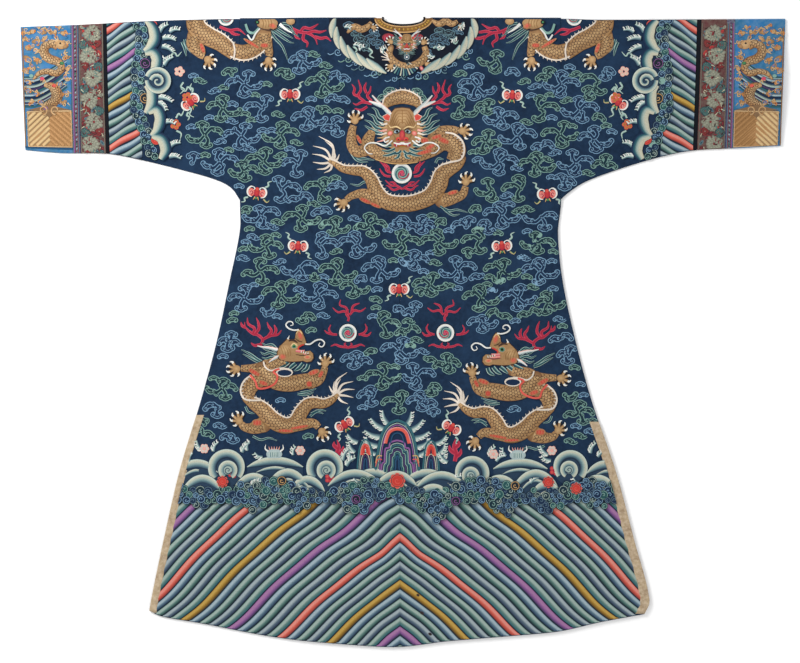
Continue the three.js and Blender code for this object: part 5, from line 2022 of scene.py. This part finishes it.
def sleeve_end_curls(s):
    """Two columns of curls beside the stripes, over a dark ground, with four bright ones."""
    edge = [(60, 4), (70, 40), (64, 80), (56, 120), (58, 160), (52, 200), (64, 230), (76, 270), (84, 300)]
    outer = [
        (126, 300), (122, 262), (114, 220), (104, 180), (100, 140), (104, 100), (104, 60), (108, 30),
        (106, 4),
    ]
    s.fill(edge + outer, "sky dark", 1.6)
    draw = random.Random(3)
    column = smooth_path(edge, 14)
    for k, (cx, cy) in enumerate(column):
        shade = k % 6
        tones = (CURL_SHADES[shade], CURL_MIDDLES[shade])
        curl(s, cx + 3 + draw.uniform(-2, 2), cy, 8.5, *tones, 40 * k, 1.8 + 0.004 * k)
        tones = (CURL_SHADES[shade - 2], CURL_MIDDLES[shade - 2])
        curl(s, cx + 17 + draw.uniform(-3, 3), cy + 7, 8, *tones, 70 * k, 1.75 + 0.004 * k)
    for cx, cy, shade in ((84, 100, "purple"), (82, 178, "gold"), (104, 270, "coral"), (102, 14, "coral")):
        curl(s, cx, cy, 11, shade, "stripe line" if shade != "coral" else "red", 30, 2.4)


def sleeve_end_water(s):
    """Scallops of water beside the curls, a rolling wave among them, and foam."""
    scallops = [
        [(90, 3), (103, 20), (107, 44), (96, 64), (84, 74)],
        [(84, 76), (101, 74), (111, 90), (107, 110), (97, 124)],
        [(86, 148), (97, 164), (97, 190), (84, 212)],
        [(88, 208), (107, 202), (115, 222), (109, 246), (96, 262)],
        [(96, 260), (117, 268), (125, 292), (114, 314)],
    ]
    shades = [
        (-1, "stripe line"), (-0.9, "wave cream"), (-0.4, "wave cream"), (0, "wave pale"), (0.4, "teal"),
        (0.8, "sky dark"), (1, "sky dark"),
    ]
    for path in scallops:
        s.ribbon(path, [14, 26, 26, 14], shades, 2.9, 0.6)
    s.disc(111, 138, 30, "wave dark", 3.3, count=22)
    turn = np.radians(np.linspace(200, 540, 30))
    ring = np.stack([111 + 23 * np.cos(turn), 138 + 23 * np.sin(turn)], axis=1)
    s.ribbon(ring, [14, 15, 15, 11], WATER, 3.5, 0.6, smooth=False)
    s.ribbon(spiral(111, 140, 15, 1.25, 190), [9, 9, 6, 4], FOAM_WATER, 3.8, 0.4, smooth=False)
    sprays = [
        (118, 30, -40, 26), (124, 44, 10, 30), (122, 62, 30, 30), (126, 104, -40, 28),
        (122, 108, -70, 22), (112, 176, 20, 32), (110, 186, 50, 26), (124, 232, 10, 24),
        (134, 286, -20, 26), (140, 30, -10, 24), (132, 308, 10, 26),
    ]
    for fx, fy, heading, length in sprays:
        foam(s, fx, fy, heading, length, 2.6)


FLOATING_RIBBONS = [
    [(168, 142), (162, 152), (170, 158), (160, 168)], [(186, 160), (178, 152), (172, 162), (162, 156)],
    [(150, 222), (156, 212), (162, 216), (170, 200)], [(176, 196), (184, 202), (180, 214), (190, 220)],
    [(140, 84), (150, 76), (156, 84), (166, 74)], [(150, 250), (160, 256), (158, 268)],
]


def sleeve_end_blossoms(s):
    """Three small flowers and pale ribbons that float beyond the water."""
    for fx, fy, middle, edge in (
        (160, 118, "wave cream", "coral pale"), (176, 176, "stripe gold", "coral"),
        (148, 236, "stripe gold", "coral"),
    ):
        for k in range(5):
            a = math.radians(72 * k)
            petal = ellipse(fx + 7 * math.cos(a), fy + 7 * math.sin(a), 5.5, 5, count=8)
            s.fan(petal, middle, edge, 1.2, 0.3)
    for path in FLOATING_RIBBONS:
        s.ribbon(path, [4, 4, 3, 1.2], [(-1, "mint pale"), (1, "foam")], 1.0, 0.2, step=3)


def sleeve_end(side):
    """Slanting stripes, curls and a rolling wave at the outer end of the sleeve proper."""
    s = Stitching()
    end = SLEEVE_PIECES[0][SIDE_COLUMN[side]]
    direction = DIRECTION[side]
    lean = (end[1] - end[0]) / SLEEVE_END_DEPTH
    s.origin = np.array([direction * end[0], 0.0])
    s.axes = np.array([[-direction, 0], [direction * lean, 1]])
    sleeve_end_stripes(s)
    sleeve_end_curls(s)
    sleeve_end_water(s)
    sleeve_end_blossoms(s)
    return s


def round_flower(stitching, x, y, radius, shades):
    """A full flower of three rings of petals, each one shaded from its edge to its middle."""
    for ring, (share, petals) in enumerate(((1.0, 14), (0.7, 10), (0.4, 6))):
        for petal in range(petals):
            a = math.radians(360 * petal / petals + 17 * ring)
            out = 0.7 * radius * share * (1 + 0.14 * math.sin(5 * petal + x + y))
            petal_x, petal_y = x + out * math.cos(a), y + out * math.sin(a)
            wide = 0.32 * radius * share + 1.2
            high = 0.2 * radius * share + 1
            outline = ellipse(petal_x, petal_y, wide, high, math.degrees(a), 8)
            stitching.fan(outline, shades[0], shades[1], 0.55 + 0.16 * ring, 0.3)
    stitching.disc(x, y, 0.13 * radius, shades[2], 1.3)


LEAVES = [
    ("leaf red", "leaf dark"), ("leaf red", "red"), ("mint dark", "wave mid"), ("flower dark", "flower"),
]
STITCH_SHADES = ["leaf red", "leaf dark", "flower dark", "band brown", "flower pale", "stripe green mid"]


def flowered_band(side):
    """Pale round flowers among red and green leaves on the brown band."""
    s = Stitching()
    width = sleeve_axes(s, side, "floral_band")
    draw = random.Random(17)

    def inside(x, margin):
        return min(max(x, margin), width - margin)

    for k in range(74):
        x = draw.uniform(4, width - 4)
        y = draw.uniform(14, 306)
        a = draw.uniform(0, 360)
        length = draw.uniform(5, 8)
        middle, edge = LEAVES[draw.choice([0, 0, 1, 2, 2, 3])]
        s.fan(ellipse(inside(x, length), y, length, 3.4, a, 8), middle, edge, 0.3, 0.2)
    for k in range(10):
        x = width * (0.5 + 0.28 * math.sin(k * 2.2))
        following = width * (0.5 + 0.28 * math.sin((k + 1) * 2.2))
        y = 24 + k * 27
        bend = inside(x + draw.uniform(-18, 18), 3)
        s.line([(x, y), (bend, y + 12), (following, y + 27)], 2.2, "leaf red", 0.5)
    for k in range(6):
        x = width * (0.6 if k % 2 else 0.44)
        y = 34 + k * 49
        round_flower(s, x, y, 19, ("flower", "flower dark", "leaf red"))
        x = width * (0.22 if k % 2 else 0.8)
        round_flower(s, x, y + 25, 10, ("stripe green mid", "mint dark", "leaf red"))
        x = width * (0.74 if k % 2 else 0.24)
        round_flower(s, x, y + 21, 8, ("stripe red dark", "leaf dark", "flower"))
    for k in range(120):
        x = inside(draw.uniform(4, width - 4), 6)
        y = draw.uniform(16, 304)
        a = draw.uniform(0, 2 * math.pi)
        reach = draw.uniform(2.5, 5)
        shade = draw.choice(STITCH_SHADES)
        out_x = reach * math.cos(a)
        out_y = reach * math.sin(a)
        s.line([(x - out_x, y - out_y), (x + out_x, y + out_y)], [2.6, 1], shade, 1.5)
    s.line([(1.6, 10), (1.6, 310)], 1.8, "flower dark", 0.5, 12)
    s.line([(width - 1.6, 10), (width - 1.6, 310)], 1.8, "flower dark", 0.5, 12)
    return s


RIBBON_LINES = [
    (0.08, 1.6, "purple dark"), (0.2, 1.8, "stripe blue mid"), (0.32, 1.0, "stripe red dark"),
    (0.68, 1.0, "leaf red"), (0.8, 2.0, "purple"), (0.92, 1.8, "stripe blue mid"),
]


def woven_ribbon(side):
    """Narrow purple and blue lines, with a fine check of light and dark down the middle."""
    s = Stitching()
    width = sleeve_axes(s, side, "ribbon")
    for share, wide, shade in RIBBON_LINES:
        s.line([(width * share, 10), (width * share, 310)], wide, shade, 0.4, 12)
    for k in range(54):
        y = 18 + 5.2 * k
        shade = ("pearl grey", "black", "eye green", "black", "pearl grey", "leaf red")[k % 6]
        s.line([(width * 0.4, y), (width * 0.58, y + 2.4)], 1.8, shade, 0.55)
    return s


CUFF_GOLD = [(-1, "dragon dark"), (-0.5, "cuff gold"), (0.3, "cuff pale"), (1, "cuff brown")]
CUFF_DRAGON = [
    (30, 62), (44, 56), (58, 62), (60, 78), (48, 90), (30, 96), (22, 110), (34, 122), (54, 118),
    (72, 122), (86, 136),
]
CUFF_DRAGON_WIDTHS = [18, 18, 20, 21, 20, 18, 16, 15, 13, 11, 4]
# Gold clouds on the cuff: place and half length
CUFF_CLOUDS = [
    (86, 28, 12), (62, 30, 11), (40, 32, 12), (16, 34, 11), (100, 46, 10), (78, 50, 13), (94, 66, 12),
    (74, 72, 9), (98, 88, 12), (78, 92, 12), (86, 108, 10), (12, 84, 8), (102, 114, 10), (12, 132, 8),
    (28, 146, 10), (98, 140, 9), (78, 166, 10), (16, 166, 10), (22, 188, 11), (88, 186, 10), (104, 30, 8),
    (28, 22, 8), (12, 56, 9), (60, 46, 8), (98, 160, 9), (10, 110, 8), (70, 190, 9), (52, 24, 8),
    (76, 18, 8),
]


def cuff_waves(s, width):
    """Curved bands of water in several colours behind the gold figures."""
    for k in range(11):
        y = 118 + 6.4 * k
        shade = ["teal", "stripe blue", "sky dark", "stripe green", "purple dark"][k % 5]
        path = [(width, y + 14), (width * 0.72, y + 12), (width * 0.4, y - 6), (width * 0.1, y - 30)]
        tones = [(-1, "stripe line"), (0.2, shade), (1, "foam" if k % 3 == 0 else shade)]
        s.ribbon(path, [5, 6, 5, 3], tones, 0.3, 0.2, step=8)


def cuff_dragon(s):
    """A small gold dragon, and one more coil of its body below it."""
    s.ribbon(CUFF_DRAGON, CUFF_DRAGON_WIDTHS, CUFF_GOLD, 0.9, 0.7)
    s.scales(smooth_path(CUFF_DRAGON, 4), CUFF_DRAGON_WIDTHS, 1.0, 0.7, 6.5)
    for x, y, heading in ((16, 78, 200), (74, 74, -20), (14, 120, 160), (62, 136, 70)):
        for spread in (-50, 0, 50):
            a = math.radians(heading + spread)
            s.line([(x, y), (x + 9 * math.cos(a), y + 9 * math.sin(a))], [3.4, 1.4], "cuff pale", 1.1)
    s.fan(ellipse(24, 58, 13, 10, -20), "cuff pale", "cuff gold", 1.4, 0.5)
    s.fan(ellipse(14, 62, 7, 5, 10), "cuff gold", "cuff brown", 1.5, 0.3)
    s.disc(24, 55, 2.2, "black", 2.1)
    for tip in ((38, 40), (44, 46), (30, 38)):
        s.line([(28, 52), tip], [4, 1], "cuff pale", 1.5)
    body = smooth_path([(62, 148), (44, 152), (34, 168), (40, 184), (62, 192)])
    s.ribbon(body, [8, 20, 26, 22, 8], CUFF_GOLD, 0.9, 0.6, smooth=False)
    s.scales(body, [8, 20, 26, 22, 8], 1.0, 0.6, 5.5)


def cuff_clouds(s):
    """Gold clouds with small coils, and five jewels among them."""
    draw = random.Random(23)
    for x, y, size in CUFF_CLOUDS:
        patch = ellipse(x, y, 0.8 * size, 0.42 * size, draw.uniform(-40, 40), 10)
        s.fan(patch, "cuff gold", "cuff brown", 0.7, 0.3)
        for k in range(5):
            coil_x = x + draw.uniform(-0.7, 0.7) * size
            coil_y = y + draw.uniform(-0.55, 0.55) * size
            coil = spiral(coil_x, coil_y, draw.uniform(3, 5), 1.2, draw.uniform(0, 360), draw.choice([-1, 1]))
            shade = ("cuff pale", "cuff gold", "cuff orange", "cuff pale", "cuff blue")[k]
            s.ribbon(coil, [2.2, 1.4], shade, 1.0, 0.2, smooth=False)
        s.line([(x - size, y), (x - size * 1.5, y + draw.uniform(-6, 6))], [2.4, 0.8], "cuff pale", 0.9)
    for x, y, shade in (
        (40, 150, "coral"), (66, 134, "flame pale"), (22, 100, "eye green"), (60, 200, "purple"),
        (90, 128, "mint pale"),
    ):
        s.disc(x, y, 5, shade, 1.5, 4)


def cuff_square(s, width):
    """A square of gold chevrons, brighter on its outer half, with a scrolled top and lines beside it."""
    left, right, top, bottom = 4, width - 8, 206, 286
    s.fill([(left, top), (right, top + 2), (right, bottom - 2), (left, bottom)], "cuff gold", 0.6)
    middle = (left + right) / 2
    half = (right - left) / 2
    chevrons = {
        1: [(-1, "cuff brown"), (0, "gold light"), (1, "cuff pale")],
        -1: [(-1, "gold brown"), (0, "cuff gold"), (1, "gold brown")],
    }
    for k in range(-3, 7):
        start = np.array([0, top + 12.5 * k])
        fall = np.array([half, 44])
        first = min(max((top + 3 - start[1]) / fall[1], 0), 1)
        last = min(max((bottom - 3 - start[1]) / fall[1], 0), 1)
        if last - first > 0.06:
            ends = start + np.outer([first, last], fall)
            for flip in (-1, 1):
                s.ribbon(ends * [flip, 1] + [middle, 0], 8.0, chevrons[flip], 1.1, 0.5, step=8)
    scroll = [
        (left, top - 2), (middle - 12, top + 2), (middle, top + 16), (middle + 12, top + 2), (right, top - 2),
        (middle, top - 14),
    ]
    s.fill(scroll, "cuff brown", 1.7)
    for flip in (-1, 1):
        coil = spiral(middle + flip * 14, top - 2, 11, 1.2, 90, flip)
        s.ribbon(coil, [5, 3], CUFF_GOLD, 1.9, 0.3, smooth=False)
    s.loop([(left, top), (right, top + 2), (right, bottom - 2), (left, bottom)], 3, "cuff pale", 1.9)
    s.line([(left - 2, 290), (width, 286)], 4, "sky mid", 0.9, 10)
    s.line([(width - 1.2, 20), (width - 1.2, 288)], 2.4, "gold brown", 0.8, 12)


def cuff_figures(side):
    """Couched gold clouds and a dragon on blue, over a square of gold chevrons."""
    s = Stitching()
    width = sleeve_axes(s, side, "cuff")
    cuff_waves(s, width)
    cuff_dragon(s)
    cuff_clouds(s)
    cuff_square(s, width)
    return s


# Yoke and collar

# Waves along the yoke's edge: start and end of each, in degrees from the shoulder
YOKE_WAVES = [(-2, 20), (10, 33), (22, 45), (34, 57), (46, 68), (57, 77)]


def yoke_border():
    """Overlapping tongues of pale water along the yoke's edge, with rays, foam and thin curls."""
    s = Stitching()
    s.place(NECK_CENTRE, 0)
    shades = [
        (-1, "stripe line"), (-0.85, "wave mid"), (-0.4, "wave pale"), (0.1, "wave cream"),
        (0.8, "wave cream"), (1, "wave dark"),
    ]
    for flip in (-1, 1):
        for k, (start, end) in enumerate(YOKE_WAVES):
            share = np.linspace(0, 1, 12)
            turn = np.radians(start + (end - start) * share)
            out = 19 * share - 9
            path = np.stack([flip * (160 + out) * np.cos(turn), (115 + out) * np.sin(turn)], axis=1)
            tones = shades if flip > 0 else [(-offset, name) for offset, name in reversed(shades)]
            s.ribbon(path, [4, 13, 17, 13, 3], tones, 0.75 + 0.25 * k, 0.6, smooth=False)
    draw = random.Random(9)
    for k in range(15):
        t = math.radians(34 + 8 * k + draw.uniform(-3, 3))
        out = 15 + draw.uniform(-3, 6)
        x, y = (162 + out) * math.cos(t), (116 + out) * math.sin(t)
        radius = draw.uniform(6, 10)
        shade = ("sky pale", "mint pale", "sky pale", "wave mid")[k % 4]
        s.line(spiral(x, y, radius, 1.4, draw.uniform(0, 360)), [1.8, 1.3], shade, 0.5, 3)
        wisp = [(x - radius, y + 2), (x - radius - 8, y + 6), (x - radius - 14, y + 3)]
        s.line(wisp, [1.8, 1.4], shade, 0.5, 3)
    for k in range(-5, 6):
        t = math.radians(90 + 11 * k)
        near = (14 * math.cos(t), 90 + 14 * math.sin(t))
        far = (38 * math.cos(t), 90 + 38 * math.sin(t))
        s.line([near, far], [4, 8], "sky dark", 1.4)
        s.line([near, far], [1.6, 3], ("mint pale", "wave cream", "teal")[k % 3], 1.5)
    s.fan(ellipse(40, 111, 4, 6, -30), "coral pale", "flame", 1.7, 0.3)
    for x, y, heading in (
        (-98, 72, -30), (-112, 60, 20), (92, 62, 200), (118, 40, 160), (-46, 78, -60), (70, 84, 210),
        (-132, 20, 20), (134, 8, 150),
    ):
        foam(s, x, y, heading, 15, 2.2)
    return s


# Clouds on the yoke: place and half length
YOKE_CLOUDS = [
    (-96, 46, 15), (-72, 42, 13), (-58, 54, 13), (-88, 60, 12), (74, 40, 14), (62, 52, 12), (100, 32, 13),
    (88, 46, 11), (52, 72, 9), (-106, 34, 11), (-122, 14, 12), (-66, 28, 10), (80, 26, 11), (120, 24, 10),
]
# Gold dragons in part: points along the body, and the place and heading of a claw
YOKE_GOLD = [
    ([(-124, 30), (-110, 18), (-94, 24), (-80, 18), (-72, 8)], (-68, 20, 20)),
    ([(64, 4), (78, 12), (94, 6), (108, 12), (120, 6)], (126, 16, 60)),
]


def yoke_figures():
    """A small gold dragon over its pearl, with blue clouds, red patches and gold bits on black."""
    s = Stitching()
    s.place(NECK_CENTRE, 0)
    for k, (x, y, size) in enumerate(YOKE_CLOUDS):
        edge, inside = ("yoke blue", "sky dark") if k % 3 else ("wave mid", "mint dark")
        shades = (edge, inside, "yoke ground")
        cloud_head(s, x, y, size, 0, shades, 0.5)
        cloud_head(s, x + 0.5 * size, y + 0.75 * size, 0.8 * size, 8, shades, 0.45)
    for flip in (-1, 1):
        s.fan(ellipse(flip * 32 - 2, 42, 14, 9), "flame", "leaf red", 0.7, 0.2)
        for k in range(4):
            s.line([(flip * (24 + 5 * k) - 2, 38), (flip * (26 + 5 * k) - 2, 50)], 1.6, "flame pale", 1.0)
    for path, (x, y, heading) in YOKE_GOLD:
        scaly(s, path, [6, 14, 16, 14, 8], 0.9)
        claw(s, x, y, heading, 0.5, 1.4)
    ribbons = [
        [(-78, 66), (-70, 74), (-76, 82), (-66, 88)], [(-112, 62), (-104, 70), (-112, 78)],
        [(66, 66), (74, 62), (78, 70), (88, 64)], [(108, 50), (116, 56), (122, 48)],
    ]
    for path in ribbons:
        s.ribbon(path, [4, 4, 3, 1], [(-1, "mint pale"), (1, "foam")], 0.7, 0.2, step=3)
    s.place(NECK_CENTRE + 6, 66)
    body = [(-34, -2), (-38, 14), (-28, 30), (-10, 40), (12, 40), (32, 30), (44, 12), (40, -4)]
    scaly(s, body, [12, 16, 18, 18, 18, 18, 16, 12], 0.9)
    s.fill([(-18, 12), (20, 12), (1, 36)], "stripe line", 1.9)
    s.disc(1, 20, 6, "pearl grey", 2.0)
    s.disc(1, 20, 4.6, "sky dark", 2.1)
    s.disc(1, 20, 2.2, "white", 2.2)
    for tip in ((-60, -2), (-58, 8), (-56, 18), (-48, -8), (-54, 26)):
        s.line([(-30, 26), tip], [4, 1], "ridge", 1.4)
    for x, y, heading in ((-34, -14, -120), (38, -12, -50), (-34, 40, 140), (46, 36, 40)):
        claw(s, x, y, heading, 0.6, 1.6)
    s.place(NECK_CENTRE + 7, 60, scale=0.42)
    front_head(s)
    return s


def collar_lines():
    """Brighter edges and a small woven figure on the gold collar."""
    s = Stitching()
    s.place(NECK_CENTRE, 0)
    _, half_width, depth, _ = NECK_PIECES[1]
    _, inner_width, inner_depth, _ = NECK_PIECES[0]
    for share, wide, shade in (
        (0.08, 1.8, "gold"), (0.9, 2.6, "gold"), (0.78, 1.0, "dragon dark"), (0.2, 1.0, "dragon dark"),
    ):
        t = np.radians(np.linspace(4, 176, 60))
        across = inner_width + 1 + (half_width - inner_width - 1) * share
        down = inner_depth + 1 + (depth - inner_depth - 1) * share
        s.ribbon(np.stack([across * np.cos(t), down * np.sin(t)], axis=1), wide, shade, 0.3, smooth=False)
    for k in range(17):
        t = math.radians(12 + 9.75 * k)
        across = (inner_width + half_width) / 2
        down = (inner_depth + depth) / 2
        bead = ellipse(across * math.cos(t), down * math.sin(t), 3.2, 2.0, math.degrees(t), 8)
        s.fan(bead, "stripe gold pale", "stripe gold", 0.35, 0.2)
    return s


def lay_on_band(s, name, level):
    """Lays the yoke's and collar's figures at the flat level of those pieces."""
    points = np.concatenate(s.points)
    drop = np.maximum(points[:, 1], shoulder_drop(points[:, 0]) + 0.6)
    lift = level - cloth_top(points[:, 0], drop)
    index = 0
    for part in s.points:
        part[:, 1] = drop[index : index + len(part)]
        part[:, 2] += lift[index : index + len(part)]
        index += len(part)
    return s.lay(name, GOLD_THREAD, "gold_thread")


# Floor, light and camera, in metres

VIEW_DISTANCE = 6.0
VIEW_WIDTH = 1.784
VIEW_CENTRE_DROP = 697
SENSOR_WIDTH = 36
FLOOR_HALF = 6.0
FLOOR_LEVEL = -0.0004
FLOOR_COLOUR = (0.97, 0.97, 0.97, 1)
ROOM_COLOUR = (1, 1, 1, 1)
ROOM_STRENGTH = 0.72
# Lamps that point at the origin: name, place, power and size
LAMPS = [("key", (-2.2, 1.9, 1.9), 95, 1.2), ("fill", (1.9, -1.2, 2.8), 16, 2.2)]


def pale_floor():
    """A pale surface just below the robe."""
    mesh = bpy.data.meshes.new("floor")
    signs = ((-1, -1), (1, -1), (1, 1), (-1, 1))
    mesh.from_pydata([(x * FLOOR_HALF, y * FLOOR_HALF, FLOOR_LEVEL) for x, y in signs], [], [(0, 1, 2, 3)])
    floor = bpy.data.objects.new("floor", mesh)
    material, _, _, shader = new_material("pale surface")
    shader.inputs["Base Color"].default_value = FLOOR_COLOUR
    shader.inputs["Roughness"].default_value = 0.9
    mesh.materials.append(material)
    bpy.context.collection.objects.link(floor)


def soft_light():
    """An even pale room and two large lamps."""
    world = bpy.data.worlds.new("soft room")
    world.use_nodes = True
    background = world.node_tree.nodes["Background"]
    background.inputs["Color"].default_value = ROOM_COLOUR
    background.inputs["Strength"].default_value = ROOM_STRENGTH
    bpy.context.scene.world = world
    for name, place, power, size in LAMPS:
        lamp = bpy.data.lights.new(name, "AREA")
        lamp.energy = power
        lamp.size = size
        fitting = bpy.data.objects.new(name, lamp)
        fitting.location = place
        fitting.rotation_euler = (-Vector(place)).to_track_quat("-Z", "Y").to_euler()
        bpy.context.collection.objects.link(fitting)


def camera_above():
    """A camera straight above the middle of the robe."""
    camera = bpy.data.cameras.new("camera")
    camera.sensor_width = SENSOR_WIDTH
    camera.lens = SENSOR_WIDTH * VIEW_DISTANCE / VIEW_WIDTH
    eye = bpy.data.objects.new("camera", camera)
    eye.location = (SEAM_X, SHOULDER_Y - VIEW_CENTRE_DROP * MM, VIEW_DISTANCE)
    bpy.context.collection.objects.link(eye)
    bpy.context.scene.camera = eye
    bpy.context.scene.view_settings.view_transform = "Standard"


fronts()
for half in DIRECTION:
    back_panel(half)
    vent_band(half)
sleeves()
inner_edge = NECK_EDGE
for ring, cloth, ring_slot in zip(
    NECK_PIECES, [PIPING, COLLAR, YOKE], ["black_piping", "gold_brocade", "yoke_silk"]
):
    for face in ("front", "back"):
        neck_ring(ring, inner_edge, face, cloth)
    inner_edge = ring

BAND_LEVEL = THREE_LAYERS + CLOTH + SEAM_GAP + TRIM
figures = {
    "main_dragon": main_dragon(), "bats": bats(), "side_pearls": side_pearls(), "waves": waves(),
    "curls": curl_band(),
}
for half in DIRECTION:
    figures[f"side_dragon_{half}"] = side_dragon(half)
    figures[f"shoulder_dragon_{half}"] = shoulder_dragon(half)
ends = {half: sleeve_end(half) for half in DIRECTION}
border = yoke_border()
take_edges()
take_figures([*figures.values(), *ends.values(), border])
clouds()
for name, stitching in figures.items():
    thread, slot = (GOLD_THREAD, "gold_thread") if "dragon" in name else (FLOSS, "coloured_silk")
    stitching.lay(name, thread, slot, keep_on_body)
for half in DIRECTION:
    hem_stripes(half)
    ends[half].lay(f"sleeve_end_{half}", FLOSS, "coloured_silk", keep_on_sleeve)
    flowered_band(half).lay(f"flowers_{half}", FLOSS, "coloured_silk", keep_on_sleeve)
    woven_ribbon(half).lay(f"ribbon_lines_{half}", FLOSS, "coloured_silk", keep_on_sleeve)
    cuff_figures(half).lay(f"cuff_figures_{half}", GOLD_THREAD, "gold_thread", keep_on_sleeve)
lay_on_band(border, "yoke_border", BAND_LEVEL)
lay_on_band(yoke_figures(), "yoke_figures", BAND_LEVEL)
lay_on_band(collar_lines(), "collar_lines", BAND_LEVEL)
pale_floor()
soft_light()
camera_above()
